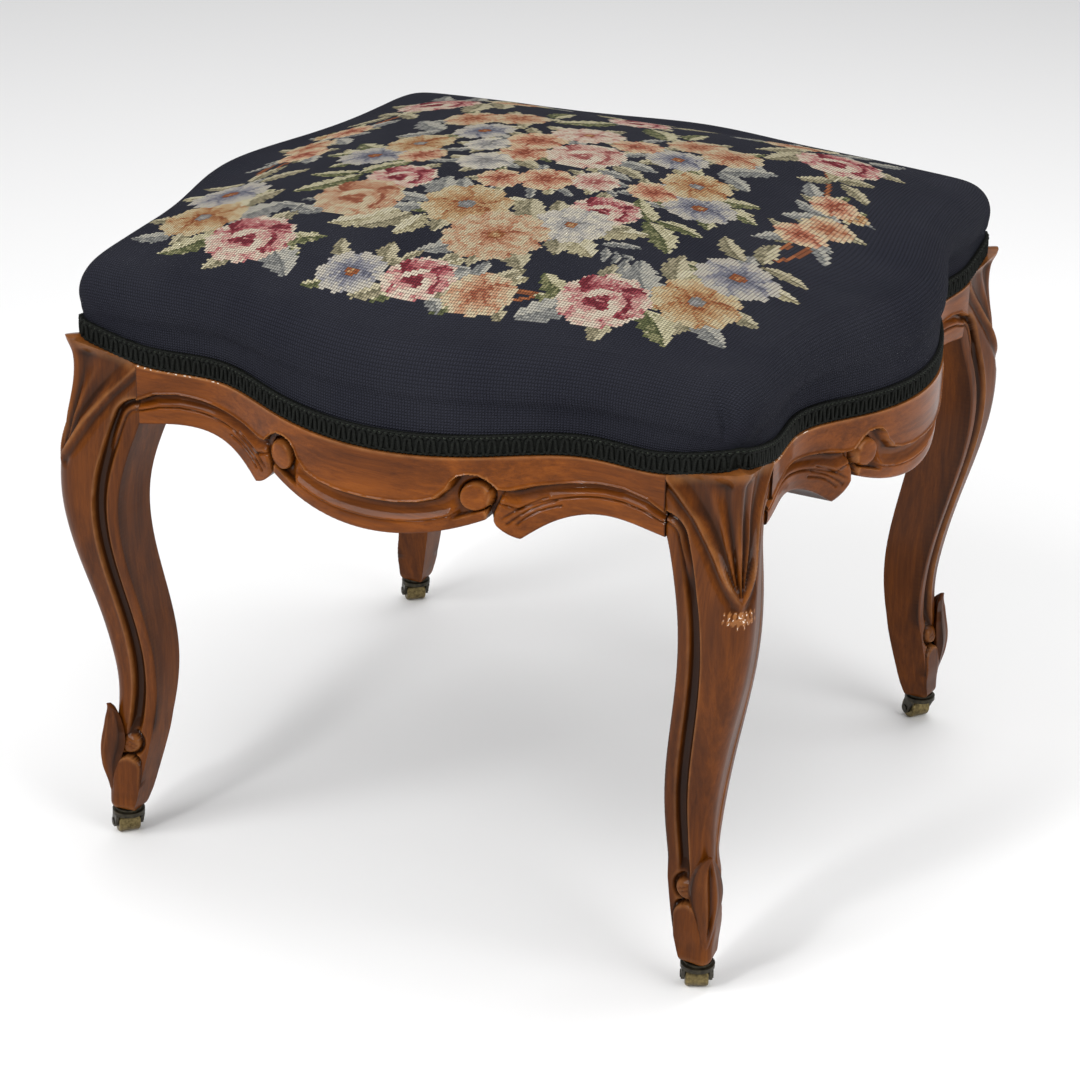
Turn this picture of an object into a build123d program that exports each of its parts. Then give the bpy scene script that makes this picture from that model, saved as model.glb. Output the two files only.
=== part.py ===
from build123d import *
import os
from math import hypot, sqrt

# Needlepoint stool with a carved serpentine frame on four cabriole legs and small casters.
# Millimetres, +Z up, the origin on the floor below the middle of the seat, the front towards -Y.
# Sizes in plan are measured from the middle of the stool, heights from the floor.

# Plan of the seat frame, one side of four
BOW_Y = 240.5            # face of a rail at the middle of its bow
SHOULDER_X = 66.0        # where the bow turns inwards
SHOULDER_Y = 226.0       # its face there
WAIST_X = 120.0          # where a rail draws in furthest
WAIST_Y = 205.8          # its face there
FACE_Y = 209.5           # its face where it meets the leg
JOINT_X = 165.5          # the butt joint between rail and leg
CORNER_R = 10.0          # rounding of the seat's corners
RAIL_INNER_Y = 183.0     # flat inner face of a rail
RAIL_TOP = 345.0         # tacking edge, hidden by the cover

# Elevation of a rail's scalloped lower edge, from its middle outwards
BELLY_Z = 265.3          # lowest point of the middle lobe
BELLY_END = (66.0, 279.3)
NOTCH_TOP = (67.5, 284.5)
LEAF_INNER = (69.0, 279.0)
LEAF_LOW = (76.0, 271.6)
LEAF_TIP = (83.5, 268.2)
ARCH_FLANK = (99.0, 279.0)
ARCH_TOP = (134.0, 287.4)
ARCH_END_Z = 284.0       # lower edge at the joint

# Carving on the rail's face
GROOVE_W = 3.5
GROOVE_DEPTH = 2.5
BELLY_GROOVE = ((48.0, 292.5), 285.0)                      # its end and its height in the middle
ARCH_GROOVE = ((160.0, 300.0), (124.0, 306.0), (83.0, 297.0))
DISC_AT = (60.5, 293.3)
DISC_R = 8.0
DISC_RISE = 1.8

# Line along which the gimp braid lies on the wood
GIMP_LINE = ((0.0, 314.0), (60.0, 316.2), (110.0, 319.3), (JOINT_X, 321.0), (207.0, 331.0), (255.0, 343.0))
GIMP_H = 12.5
GIMP_T = 2.1
COVER_T = 1.7
FIT = 0.3                # clearance beside soft pieces
REBATE = 5.0             # step of the wood behind the cover's edge

# Casters
CASTER_AT = 191.3        # swivel axis, from both middle planes
WHEEL_R = 7.0
WHEEL_W = 13.5
WHEEL_EDGE = 1.2
WHEEL_GAP = 0.6          # below the plate
AXLE_R = 1.5
AXLE_HEAD_R = 2.4
AXLE_HEAD_T = 0.6
RUNNING_FIT = 0.05
TRAIL = 3.5              # axle behind the swivel axis
SIDE_GAP = 0.3
CHEEK_T = 2.0
CHEEK_R = 3.5
PLATE_R = 10.0
PLATE_T = 2.6
PLATE_GAP = 0.3          # below the flange
STEM_R = 3.0
STEM_DEPTH = 25.0        # inside the foot
FLANGE_R = 8.3
FLANGE_T = 1.5
SLEEVE_R = 4.0
SLEEVE_DEPTH = 28.0
SLEEVE_END = 2.0
SLEEVE_FIT = 0.05

# Cabriole leg: height, face on its inner side, corner and corner rounding of each section
FOOT_Z = 2 * WHEEL_R + WHEEL_GAP + PLATE_T + PLATE_GAP + FLANGE_T    # underside of the wooden foot
LEG_CORE = 150.0         # the sections start here, inside the joint
LEG_SECTIONS = (
    (FOOT_Z, 199.5, 201.5, 6.0),
    (50.0, 197.5, 201.7, 8.0),
    (75.0, 194.6, 199.0, 8.0),
    (103.0, 195.1, 196.5, 8.0),
    (130.0, 198.4, 199.0, 8.0),
    (155.0, 203.2, 203.8, 9.0),
    (180.0, 208.6, 210.0, 10.0),
    (208.0, 213.6, 217.0, 12.0),
    (230.0, 215.2, 220.8, 13.0),
    (253.0, 213.5, 222.6, 14.0),
    (285.0, 208.2, 219.5, 13.0),
    (308.0, 208.3, 213.5, 11.0),
    (323.0, 209.2, 212.5, 8.0),
    (333.0, 209.5, 214.5, 7.0),
    (341.0, 209.5, 214.5, 7.0),
)
FOOT_CHAMFER = (183.0, 180.0, 29.0)    # inner edge at the floor end, above it, and that height
ANKLE_IN = (167.2, 125.0)
KNEE_IN = (176.8, 240.0)
TOE_BASE = (196.0, 27.0)
TOE_OUT = (203.0, 57.0)
TOE_TIP = (199.0, 90.0)
TOE_BACK = (192.0, 77.0)
TOE_T = 12.0

# Dowels, corner blocks and screws
DOWEL_R = 4.0
DOWEL_L = 38.0
DOWEL_Y = RAIL_INNER_Y + 12.0
DOWEL_HEIGHTS = (RAIL_TOP - 46.0, RAIL_TOP - 16.0)
DOWEL_FIT = 0.05
DOWEL_END = 1.0          # room for glue beyond each end
BLOCK_HIGH = RAIL_TOP - 12.0
BLOCK_LOW = BLOCK_HIGH - 50.0
BLOCK_REACH = 58.0       # along each rail from the inner corner
SCREW_R = 2.2
SCREW_HEAD_R = 4.2
SCREW_HEAD_T = 2.4
SCREW_BITE = 16.0        # depth in the leg
SCREW_HEIGHTS = (BLOCK_LOW + 10.0, BLOCK_LOW + 34.0)
SCREW_FIT = 0.3

# Seat: webbing, hessian, stuffing and cover
WEB_W = 50.0
WEB_T = 1.2
WEB_PITCH = 85.0
WEB_END = 196.0
WEB_FOLD = 16.0
TACK_R = 0.9
TACK_L = 11.0
TACK_HEAD_R = 2.6
TACK_HEAD_T = 0.7
TACK_SPREAD = 16.0
HESSIAN_T = 0.8
HESSIAN_INSET = 12.0
SKIRT_LOW = min(z for x, z in GIMP_LINE) - 7.5
# Height above the rails, width as a share of the frame's plan and softening of the plan, for each level
CUSHION_LEVELS = (
    (4.5, 0.998, 0.3),
    (10.5, 1.005, 0.6),
    (18.0, 1.003, 0.9),
    (24.0, 0.992, 1.1),
    (30.0, 0.972, 1.3),
    (34.5, 0.940, 1.4),
    (39.5, 0.875, 1.5),
    (46.0, 0.770, 1.5),
    (53.5, 0.600, 1.5),
    (59.0, 0.420, 1.5),
    (63.0, 0.240, 1.5),
    (65.0, 0.080, 1.5),
)
SOFT_BOW = 4.0           # the bow flattens by this at a softening of 1
SOFT_SHOULDER = 1.6
SOFT_WAIST = 6.0         # and the waist fills out
SOFT_FACE = 1.5
SOFT_CORNER = 10.0

# Dust cover below the seat
DUST_T = 0.8
DUST_EDGE = 0.5          # short of the rails
DUST_TACK_AT = (RAIL_INNER_Y - 7.0, RAIL_INNER_Y - 41.0)
DUST_TACK_L = 9.0

REACH = 300.0            # past everything in plan
SIDES = ("front", "right", "rear", "left")
CORNERS = ("rear_right", "rear_left", "front_left", "front_right")
SWIVELS = (143.0, 130.0, 136.0, 115.0)    # way each wheel trails at rest, in the order of CORNERS

TACK_SCALE = 1.0 - REBATE / FACE_Y
COVER_IN = TACK_SCALE + FIT / FACE_Y
COVER_OUT = COVER_IN + COVER_T / FACE_Y
GIMP_IN = COVER_OUT + FIT / FACE_Y
GIMP_OUT = GIMP_IN + GIMP_T / FACE_Y
GROOVE_SCALE = 1.0 - GROOVE_DEPTH / FACE_Y
DISC_SCALE = 1.0 + DISC_RISE / FACE_Y


def turned(x, y, turn):
    """The point x, y after a number of quarter turns about the middle."""
    return Vector(x, y).rotate(Axis.Z, 90 * turn)


def seat_outline(scale, soft=0.0):
    """The edges of the closed serpentine plan, scaled and softened."""
    bow = (BOW_Y - SOFT_BOW * soft) * scale
    shoulder = (SHOULDER_Y - SOFT_SHOULDER * soft) * scale
    waist = (WAIST_Y + SOFT_WAIST * soft) * scale
    face = (FACE_Y + SOFT_FACE * soft) * scale
    corner = face - (CORNER_R + SOFT_CORNER * soft) * scale
    joint = JOINT_X * scale
    half = ((joint, -face), (WAIST_X * scale, -waist), (SHOULDER_X * scale, -shoulder))
    side = [(-x, y) for x, y in half] + [(0, -bow)] + list(reversed(half))
    with BuildLine() as outline:
        for turn in range(4):
            along = turned(1, 0, turn)
            Spline(*[turned(x, y, turn) for x, y in side], tangents=(along, along))
            Line(turned(joint, -face, turn), turned(corner, -face, turn))
            TangentArc(turned(corner, -face, turn), turned(face, -corner, turn), tangent=along)
            Line(turned(face, -corner, turn), turned(face, -joint, turn))
    return outline.edges()


def seat_prism(scale, low, high):
    """The serpentine plan between two heights."""
    outline = seat_outline(scale)
    with BuildPart() as prism:
        with BuildSketch(Plane.XY.offset(low)):
            make_face(outline)
        extrude(amount=high - low)
    return prism.part


def gimp_line_points(lift):
    """The gimp line of one side from end to end, raised by lift."""
    half = [(x, z + lift) for x, z in GIMP_LINE]
    return [(-x, z) for x, z in reversed(half[1:])] + half


def under_gimp_line(lift):
    """All that lies below the gimp line raised by lift: four wedges that meet on the diagonals."""
    line = gimp_line_points(lift)
    end = line[-1]
    with BuildPart() as wedge:
        with BuildSketch(Plane.XZ):
            with BuildLine():
                Spline(*line)
                Polyline(end, (end[0], 0), (-end[0], 0), line[0])
            make_face()
        extrude(amount=REACH)
        with BuildSketch():
            with BuildLine():
                Polyline((0, 0), (-REACH, -REACH), (REACH, -REACH), close=True)
            make_face()
        extrude(amount=RAIL_TOP + REACH, mode=Mode.INTERSECT)
    with BuildPart() as region:
        with PolarLocations(0, 4):
            add(wedge.part)
    return region.part


def cushion_levels(inset):
    """The levels of skirt and cushion moved inwards by inset, square to their surface."""
    outer = [(SKIRT_LOW, COVER_OUT, 0.0), (RAIL_TOP, COVER_OUT, 0.0)]
    outer += [(RAIL_TOP + height, scale, soft) for height, scale, soft in CUSHION_LEVELS]
    levels = [(SKIRT_LOW - inset, COVER_OUT - inset / FACE_Y, 0.0)]
    for i in range(1, len(outer)):
        height, scale, soft = outer[i]
        low = outer[i - 1]
        high = outer[min(i + 1, len(outer) - 1)]
        out = (high[1] - low[1]) * FACE_Y
        rise = high[0] - low[0]
        length = hypot(out, rise)
        levels.append((height + inset * out / length, scale - inset * rise / length / FACE_Y, soft))
    return levels


def cushion_form(inset):
    """The crowned cushion with its sides drawn in, and its skirt below."""
    levels = [(height, seat_outline(scale, soft)) for height, scale, soft in cushion_levels(inset)]
    with BuildPart() as form:
        for height, outline in levels:
            with BuildSketch(Plane.XY.offset(height)):
                make_face(outline)
        loft(ruled=True)
    return form.part


def export(piece, name):
    """Labels a finished piece and writes it."""
    piece.label = name
    export_step(piece, f"parts/{name}.step")


tack_core = seat_prism(TACK_SCALE, SKIRT_LOW, RAIL_TOP)

# Upper strip of a rail, set back behind the cover
with BuildPart() as tack_rail:
    with BuildSketch(Plane.XZ.offset(RAIL_INNER_Y)):
        with Locations((0, (SKIRT_LOW + RAIL_TOP) / 2)):
            Rectangle(2 * JOINT_X, RAIL_TOP - SKIRT_LOW)
    extrude(amount=REACH)
    add(tack_core, mode=Mode.INTERSECT)

# Carved lines cut into a rail's face
with BuildPart() as rail_grooves:
    with BuildSketch(Plane.XZ.offset(RAIL_INNER_Y)):
        end, middle = BELLY_GROOVE
        with BuildLine(mode=Mode.PRIVATE) as belly:
            ThreePointArc((-end[0], end[1]), (0, middle), end)
        SlotArc(belly.edge(), GROOVE_W)
        for side in (-1, 1):
            with BuildLine(mode=Mode.PRIVATE) as arch:
                ThreePointArc(*[(side * x, z) for x, z in ARCH_GROOVE])
            SlotArc(arch.edge(), GROOVE_W)
    extrude(amount=REACH)
    add(seat_prism(GROOVE_SCALE, FOOT_Z, RAIL_TOP), mode=Mode.SUBTRACT)

# Round scroll ends beside the middle lobe
with BuildPart() as rail_discs:
    with BuildSketch(Plane.XZ.offset(RAIL_INNER_Y)):
        with Locations((-DISC_AT[0], DISC_AT[1]), DISC_AT):
            Circle(DISC_R)
    extrude(amount=REACH)
    add(seat_prism(DISC_SCALE, FOOT_Z, RAIL_TOP), mode=Mode.INTERSECT)

# Rail with its scalloped apron, front side
with BuildPart() as rail:
    with BuildSketch(Plane.XZ.offset(RAIL_INNER_Y)):
        with BuildLine():
            ThreePointArc((-BELLY_END[0], BELLY_END[1]), (0, BELLY_Z), BELLY_END)
            for side in (-1, 1):
                notch = [(side * x, z) for x, z in (BELLY_END, NOTCH_TOP, LEAF_INNER)]
                leaf = [(side * x, z) for x, z in (LEAF_INNER, LEAF_LOW, LEAF_TIP)]
                arch = [(side * x, z) for x, z in (LEAF_TIP, ARCH_FLANK, ARCH_TOP, (JOINT_X, ARCH_END_Z))]
                Polyline(*notch)
                ThreePointArc(*leaf)
                Spline(*arch)
                Line(arch[-1], (side * JOINT_X, RAIL_TOP))
            Line((-JOINT_X, RAIL_TOP), (JOINT_X, RAIL_TOP))
        make_face()
        line = gimp_line_points(0)
        with BuildLine():
            Spline(*line)
            Polyline(line[-1], (line[-1][0], 0), (line[0][0], 0), line[0])
        make_face(mode=Mode.INTERSECT)
    extrude(amount=REACH)
    add(seat_prism(1.0, FOOT_Z, RAIL_TOP), mode=Mode.INTERSECT)
    add(tack_rail.part)
    add(rail_grooves.part, mode=Mode.SUBTRACT)
    add(rail_discs.part)
    for side in (-1, 1):
        with Locations(Plane(origin=(side * JOINT_X, -DOWEL_Y, 0), z_dir=(side, 0, 0), x_dir=(0, 1, 0))):
            with Locations(*[(0, side * z) for z in DOWEL_HEIGHTS]):
                Cylinder(
                    DOWEL_R + DOWEL_FIT,
                    DOWEL_L + 2 * DOWEL_END,
                    mode=Mode.SUBTRACT,
                )

for turn, side in enumerate(SIDES):
    export(rail.part.rotate(Axis.Z, 90 * turn), f"rail_{side}")

# Cabriole leg, rear right
with BuildPart() as leg:
    for height, face, corner, rounding in LEG_SECTIONS:
        with BuildSketch(Plane.XY.offset(height)) as section:
            with BuildLine():
                Polyline((LEG_CORE, LEG_CORE), (face, LEG_CORE), (corner, corner), (LEG_CORE, face), close=True)
            make_face()
            fillet(section.vertices().sort_by(SortBy.DISTANCE)[-1], rounding)
    loft()
    add(under_gimp_line(0), mode=Mode.INTERSECT)
    with BuildSketch(Plane(origin=(0, 0, 0), x_dir=(1, 1, 0), z_dir=(1, -1, 0))):
        toe = [(sqrt(2) * across, height) for across, height in (TOE_BASE, TOE_OUT, TOE_TIP, TOE_BACK)]
        with BuildLine():
            Spline(*toe[:3])
            Polyline(toe[2], toe[3], (toe[3][0], toe[0][1]), toe[0])
        make_face()
    extrude(amount=TOE_T / 2, both=True)
    add(tack_core)
    for saw_plane, outwards in ((Plane.XZ, -REACH), (Plane.YZ, REACH)):
        with BuildSketch(saw_plane):
            with BuildLine():
                inner = Spline(
                    (FOOT_CHAMFER[1], FOOT_CHAMFER[2]),
                    ANKLE_IN,
                    KNEE_IN,
                    (JOINT_X, ARCH_END_Z),
                )
                Polyline(
                    inner @ 1,
                    (JOINT_X, RAIL_TOP),
                    (REACH, RAIL_TOP),
                    (REACH, FOOT_Z),
                    (FOOT_CHAMFER[0], FOOT_Z),
                    inner @ 0,
                )
            make_face()
        extrude(amount=outwards, mode=Mode.INTERSECT)
    with Locations((CASTER_AT, CASTER_AT, FOOT_Z + SLEEVE_DEPTH / 2)):
        Cylinder(SLEEVE_R + SLEEVE_FIT, SLEEVE_DEPTH, mode=Mode.SUBTRACT)
    for height in DOWEL_HEIGHTS:
        for place, turn in (((JOINT_X, DOWEL_Y), (0, 90, 0)), ((DOWEL_Y, JOINT_X), (90, 0, 0))):
            with Locations((*place, height)):
                Cylinder(DOWEL_R + DOWEL_FIT, DOWEL_L + 2 * DOWEL_END, rotation=turn, mode=Mode.SUBTRACT)

for turn, corner in enumerate(CORNERS):
    export(leg.part.rotate(Axis.Z, 90 * turn), f"leg_{corner}")

# Dowels that hold the rails to the legs, two in each joint
with BuildPart() as rail_dowels:
    for turn in range(4):
        for side in (-1, 1):
            for height in DOWEL_HEIGHTS:
                place = turned(side * JOINT_X, -DOWEL_Y, turn)
                with Locations(Location((place.X, place.Y, height), (0, 0, 90 * turn))):
                    Cylinder(DOWEL_R, DOWEL_L, rotation=(0, 90, 0))
export(rail_dowels.part, "rail_dowels")

# Block glued into each inner corner and screwed to the leg
SQUARE = RAIL_INNER_Y
BLOCK_FACE = (2 * SQUARE - BLOCK_REACH) / 2    # middle of the slanted face
with BuildPart() as corner_block:
    with BuildSketch(Plane.XY.offset(BLOCK_LOW)):
        with BuildLine():
            Polyline(
                (SQUARE, SQUARE - BLOCK_REACH),
                (SQUARE, JOINT_X),
                (JOINT_X, JOINT_X),
                (JOINT_X, SQUARE),
                (SQUARE - BLOCK_REACH, SQUARE),
                close=True,
            )
        make_face()
    extrude(amount=BLOCK_HIGH - BLOCK_LOW)
    for height in SCREW_HEIGHTS:
        with Locations(Plane(origin=(BLOCK_FACE, BLOCK_FACE, height), z_dir=(-1, -1, 0))):
            CounterBoreHole(SCREW_R + SCREW_FIT, SCREW_HEAD_R + SCREW_FIT, SCREW_HEAD_T)
for turn, corner in enumerate(CORNERS):
    export(corner_block.part.rotate(Axis.Z, 90 * turn), f"corner_block_{corner}")

# Screws through the blocks, two in each
SCREW_L = (JOINT_X - BLOCK_FACE) * sqrt(2) + SCREW_BITE
with BuildPart() as block_screws:
    for turn in range(4):
        for height in SCREW_HEIGHTS:
            place = turned(BLOCK_FACE, BLOCK_FACE, turn)
            inwards = turned(1, 1, turn)
            with Locations(Plane(origin=(place.X, place.Y, height), z_dir=inwards)):
                Cylinder(SCREW_HEAD_R, SCREW_HEAD_T, align=(Align.CENTER, Align.CENTER, Align.MIN))
                Cylinder(SCREW_R, SCREW_L, align=(Align.CENTER, Align.CENTER, Align.MIN))
export(block_screws.part, "block_screws")

# Webbing tacked over the rails, three strips each way, with the ends folded
WEB_PLACES = (-WEB_PITCH, 0.0, WEB_PITCH)
FOLD_MIDDLE = WEB_END - WEB_FOLD / 2
with BuildPart() as webbing_lengthwise:
    with Locations(*[(x, 0, RAIL_TOP + WEB_T / 2) for x in WEB_PLACES]):
        Box(WEB_W, 2 * WEB_END, WEB_T)
    with Locations(*[(x, side * FOLD_MIDDLE, RAIL_TOP + 1.5 * WEB_T) for x in WEB_PLACES for side in (-1, 1)]):
        Box(WEB_W, WEB_FOLD, WEB_T)
export(webbing_lengthwise.part, "webbing_lengthwise")

with BuildPart() as webbing_crosswise:
    with Locations(*[(0, y, RAIL_TOP + 1.5 * WEB_T) for y in WEB_PLACES]):
        Box(2 * WEB_END, WEB_W, WEB_T)
    with Locations(*[(side * FOLD_MIDDLE, y, RAIL_TOP + WEB_T / 2) for y in WEB_PLACES for side in (-1, 1)]):
        Box(WEB_FOLD, WEB_W, WEB_T)
export(webbing_crosswise.part, "webbing_crosswise")

# Tacks through the folded ends
WEB_TOP = RAIL_TOP + 2 * WEB_T
with BuildPart() as webbing_tacks:
    for turn in range(4):
        for along in WEB_PLACES:
            for side in (-1, 1):
                place = turned(along + side * TACK_SPREAD, -FOLD_MIDDLE, turn)
                with Locations((place.X, place.Y, WEB_TOP)):
                    Cylinder(TACK_HEAD_R, TACK_HEAD_T, align=(Align.CENTER, Align.CENTER, Align.MIN))
                    Cylinder(TACK_R, TACK_L, align=(Align.CENTER, Align.CENTER, Align.MAX))
export(webbing_tacks.part, "webbing_tacks")

# Hessian laid over the webbing inside the tacks
HESSIAN_HALF = FOLD_MIDDLE - HESSIAN_INSET
with BuildPart() as hessian:
    with BuildSketch(Plane.XY.offset(WEB_TOP)):
        RectangleRounded(2 * HESSIAN_HALF, 2 * HESSIAN_HALF, CORNER_R)
    extrude(amount=HESSIAN_T)
export(hessian.part, "hessian_layer")

# Stuffing: a crowned pad with drawn-in sides
PAD_LOW = WEB_TOP + HESSIAN_T + FIT
with BuildPart() as stuffing:
    add(cushion_form(COVER_T + FIT))
    split(bisect_by=Plane.XY.offset(PAD_LOW), keep=Keep.TOP)
export(stuffing.part, "stuffing_pad")

# Needlepoint cover: a crowned skin with a skirt that runs down behind the gimp
with BuildPart() as cover:
    add(cushion_form(0))
    add(cushion_form(COVER_T), mode=Mode.SUBTRACT)
    add(under_gimp_line(FIT), mode=Mode.SUBTRACT)
export(cover.part, "needlepoint_cover")

# Gimp braid round the lower edge of the cover
with BuildPart() as gimp:
    add(seat_prism(GIMP_OUT, SKIRT_LOW, RAIL_TOP + GIMP_H))
    add(seat_prism(GIMP_IN, SKIRT_LOW, RAIL_TOP + GIMP_H), mode=Mode.SUBTRACT)
    add(under_gimp_line(FIT + GIMP_H), mode=Mode.INTERSECT)
    add(under_gimp_line(FIT), mode=Mode.SUBTRACT)
export(gimp.part, "gimp_braid")

# Dust cover tacked below the corner blocks
DUST_HALF = RAIL_INNER_Y - DUST_EDGE
DUST_NOTCH = RAIL_INNER_Y - JOINT_X
with BuildPart() as dust_cover:
    with BuildSketch(Plane.XY.offset(BLOCK_LOW - DUST_T)):
        Rectangle(2 * DUST_HALF, 2 * DUST_HALF)
        with Locations(*[turned(DUST_HALF, DUST_HALF, turn) for turn in range(4)]):
            Rectangle(2 * DUST_NOTCH, 2 * DUST_NOTCH, mode=Mode.SUBTRACT)
    extrude(amount=DUST_T)
export(dust_cover.part, "dust_cover")

with BuildPart() as dust_tacks:
    for turn in range(4):
        for x, y in (DUST_TACK_AT, DUST_TACK_AT[::-1]):
            place = turned(x, y, turn)
            with Locations((place.X, place.Y, BLOCK_LOW - DUST_T)):
                Cylinder(TACK_HEAD_R, TACK_HEAD_T, align=(Align.CENTER, Align.CENTER, Align.MAX))
                Cylinder(TACK_R, DUST_TACK_L, align=(Align.CENTER, Align.CENTER, Align.MIN))
export(dust_tacks.part, "dust_cover_tacks")

# Caster: socket in the foot, swivelling horn with its stem, axle and wheel
CHEEK_IN = WHEEL_W / 2 + SIDE_GAP
CHEEK_OUT = CHEEK_IN + CHEEK_T
FLANGE_LOW = FOOT_Z - FLANGE_T
SLEEVE_TOP = FOOT_Z + SLEEVE_DEPTH
PLATE_LOW = FLANGE_LOW - PLATE_GAP - PLATE_T
AXLE_Z = WHEEL_R

with BuildPart() as socket:
    with BuildSketch(Plane.XY.offset(FLANGE_LOW)):
        Circle(FLANGE_R)
    extrude(amount=FLANGE_T)
    with BuildSketch(Plane.XY.offset(FLANGE_LOW)):
        Circle(SLEEVE_R)
    extrude(amount=SLEEVE_TOP - FLANGE_LOW)
    with BuildSketch(Plane.XY.offset(FLANGE_LOW)):
        Circle(STEM_R + RUNNING_FIT)
    extrude(amount=SLEEVE_TOP - SLEEVE_END - FLANGE_LOW, mode=Mode.SUBTRACT)

CHEEK_HALF = sqrt(PLATE_R**2 - CHEEK_OUT**2)
with BuildPart() as horn:
    with BuildSketch(Plane.XY.offset(PLATE_LOW)):
        Circle(PLATE_R)
    extrude(amount=PLATE_T)
    with BuildSketch(Plane.XY.offset(PLATE_LOW)):
        Circle(STEM_R)
    extrude(amount=FOOT_Z + STEM_DEPTH - PLATE_LOW)
    for side in (-1, 1):
        middle = side * (CHEEK_IN + CHEEK_OUT) / 2
        with BuildSketch(Plane.XZ.offset(-middle)):
            with Locations((TRAIL, AXLE_Z)):
                Circle(CHEEK_R)
            with Locations((0, PLATE_LOW)):
                Rectangle(2 * CHEEK_HALF, PLATE_T)
            make_hull()
        extrude(amount=CHEEK_T / 2, both=True)
    with Locations(Location((TRAIL, 0, AXLE_Z), (90, 0, 0))):
        Cylinder(AXLE_R + RUNNING_FIT, 2 * REACH, mode=Mode.SUBTRACT)

with BuildPart() as axle:
    with Locations(Location((TRAIL, 0, AXLE_Z), (90, 0, 0))):
        Cylinder(AXLE_R, 2 * CHEEK_OUT)
        with Locations((0, 0, CHEEK_OUT + AXLE_HEAD_T / 2), (0, 0, -CHEEK_OUT - AXLE_HEAD_T / 2)):
            Cylinder(AXLE_HEAD_R, AXLE_HEAD_T)

with BuildPart() as wheel:
    with Locations(Location((TRAIL, 0, AXLE_Z), (90, 0, 0))):
        Cylinder(WHEEL_R, WHEEL_W)
        fillet(wheel.edges().filter_by(GeomType.CIRCLE), WHEEL_EDGE)
        Cylinder(AXLE_R + RUNNING_FIT, WHEEL_W, mode=Mode.SUBTRACT)

for turn, corner in enumerate(CORNERS):
    foot = turned(CASTER_AT, CASTER_AT, turn)
    place = Location((foot.X, foot.Y, 0), (0, 0, SWIVELS[turn]))
    for name, piece in (("socket", socket), ("horn", horn), ("axle", axle), ("wheel", wheel)):
        export(piece.part.moved(place), f"caster_{name}_{corner}")
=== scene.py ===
import math

import bmesh
import bpy
import numpy as np
from mathutils import Matrix, Vector
from mathutils.kdtree import KDTree


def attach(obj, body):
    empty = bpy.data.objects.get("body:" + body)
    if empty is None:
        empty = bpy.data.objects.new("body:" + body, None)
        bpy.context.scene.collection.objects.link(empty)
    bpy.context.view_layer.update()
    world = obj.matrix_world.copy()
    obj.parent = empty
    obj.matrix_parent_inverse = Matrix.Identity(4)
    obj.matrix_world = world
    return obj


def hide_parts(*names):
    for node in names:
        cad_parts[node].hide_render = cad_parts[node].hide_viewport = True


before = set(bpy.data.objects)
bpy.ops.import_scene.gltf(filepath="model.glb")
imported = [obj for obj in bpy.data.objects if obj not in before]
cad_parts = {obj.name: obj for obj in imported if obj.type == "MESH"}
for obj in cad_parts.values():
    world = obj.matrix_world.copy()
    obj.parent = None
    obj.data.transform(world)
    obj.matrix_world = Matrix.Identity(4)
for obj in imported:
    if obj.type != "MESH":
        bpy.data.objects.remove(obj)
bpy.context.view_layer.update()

# Lengths are in millimetres, as in the part's source, and become metres when a mesh is made.
MM = 0.001

# Plan and heights of the seat frame
BOW_Y = 240.5
SHOULDER = (66.0, 226.0)
WAIST = (120.0, 205.8)
FACE_Y = 209.5
JOINT_X = 165.5
CORNER_R = 10.0
RAIL_INNER_Y = 183.0
RAIL_TOP = 345.0
FOOT_Z = 19.0
REBATE = 5.0
GIMP_LINE = ((0.0, 314.0), (60.0, 316.2), (110.0, 319.3), (JOINT_X, 321.0), (207.0, 331.0), (255.0, 343.0))
GIMP_H = 12.5
COVER_T = 1.7
FIT = 0.3
TACK_SCALE = 1 - REBATE / FACE_Y

# Lower edge of a rail from its middle outwards
BELLY_Z = 265.3
BELLY_END = (66.0, 279.3)
NOTCH_TOP = (67.5, 284.5)
LEAF_INNER = (69.0, 279.0)
LEAF_LOW = (76.0, 271.6)
LEAF_TIP = (83.5, 268.2)
ARCH_POINTS = (LEAF_TIP, (99.0, 279.0), (134.0, 287.4), (JOINT_X, 284.0))

# Lower border of a rail's plain field: along the belly, over the scroll end and along the arch
FIELD_LINE = ((0.0, 285.9), (18.0, 286.3), (31.0, 288.2), (40.0, 291.1), (46.0, 297.0), (49.0, 302.0),
              (52.0, 305.0), (57.0, 306.5), (62.5, 306.3), (69.4, 302.0), (73.0, 298.2), (79.0, 298.4),
              (90.0, 301.5), (108.0, 304.3), (125.0, 306.5), (140.0, 307.3), (155.0, 305.0),
              (JOINT_X, 299.8))
# Inner edge of the apron's leaf: height and distance from the rail's middle
LEAF_EDGE = ((278.0, 68.7), (284.0, 69.8), (291.0, 72.6), (296.0, 73.0))
# Disc at the end of the belly's scroll, and the flutes of the leaf beside it
DISC_AT = (60.8, 292.8)
DISC_R = 8.0
FLUTES = (((104.0, 289.5), (95.0, 286.5), (87.0, 282.0), (82.0, 277.5)),
          ((101.0, 292.0), (91.0, 287.5), (83.0, 282.5), (77.0, 277.5)),
          ((97.0, 294.0), (87.0, 289.0), (79.0, 284.0), (73.5, 280.0)))

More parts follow.
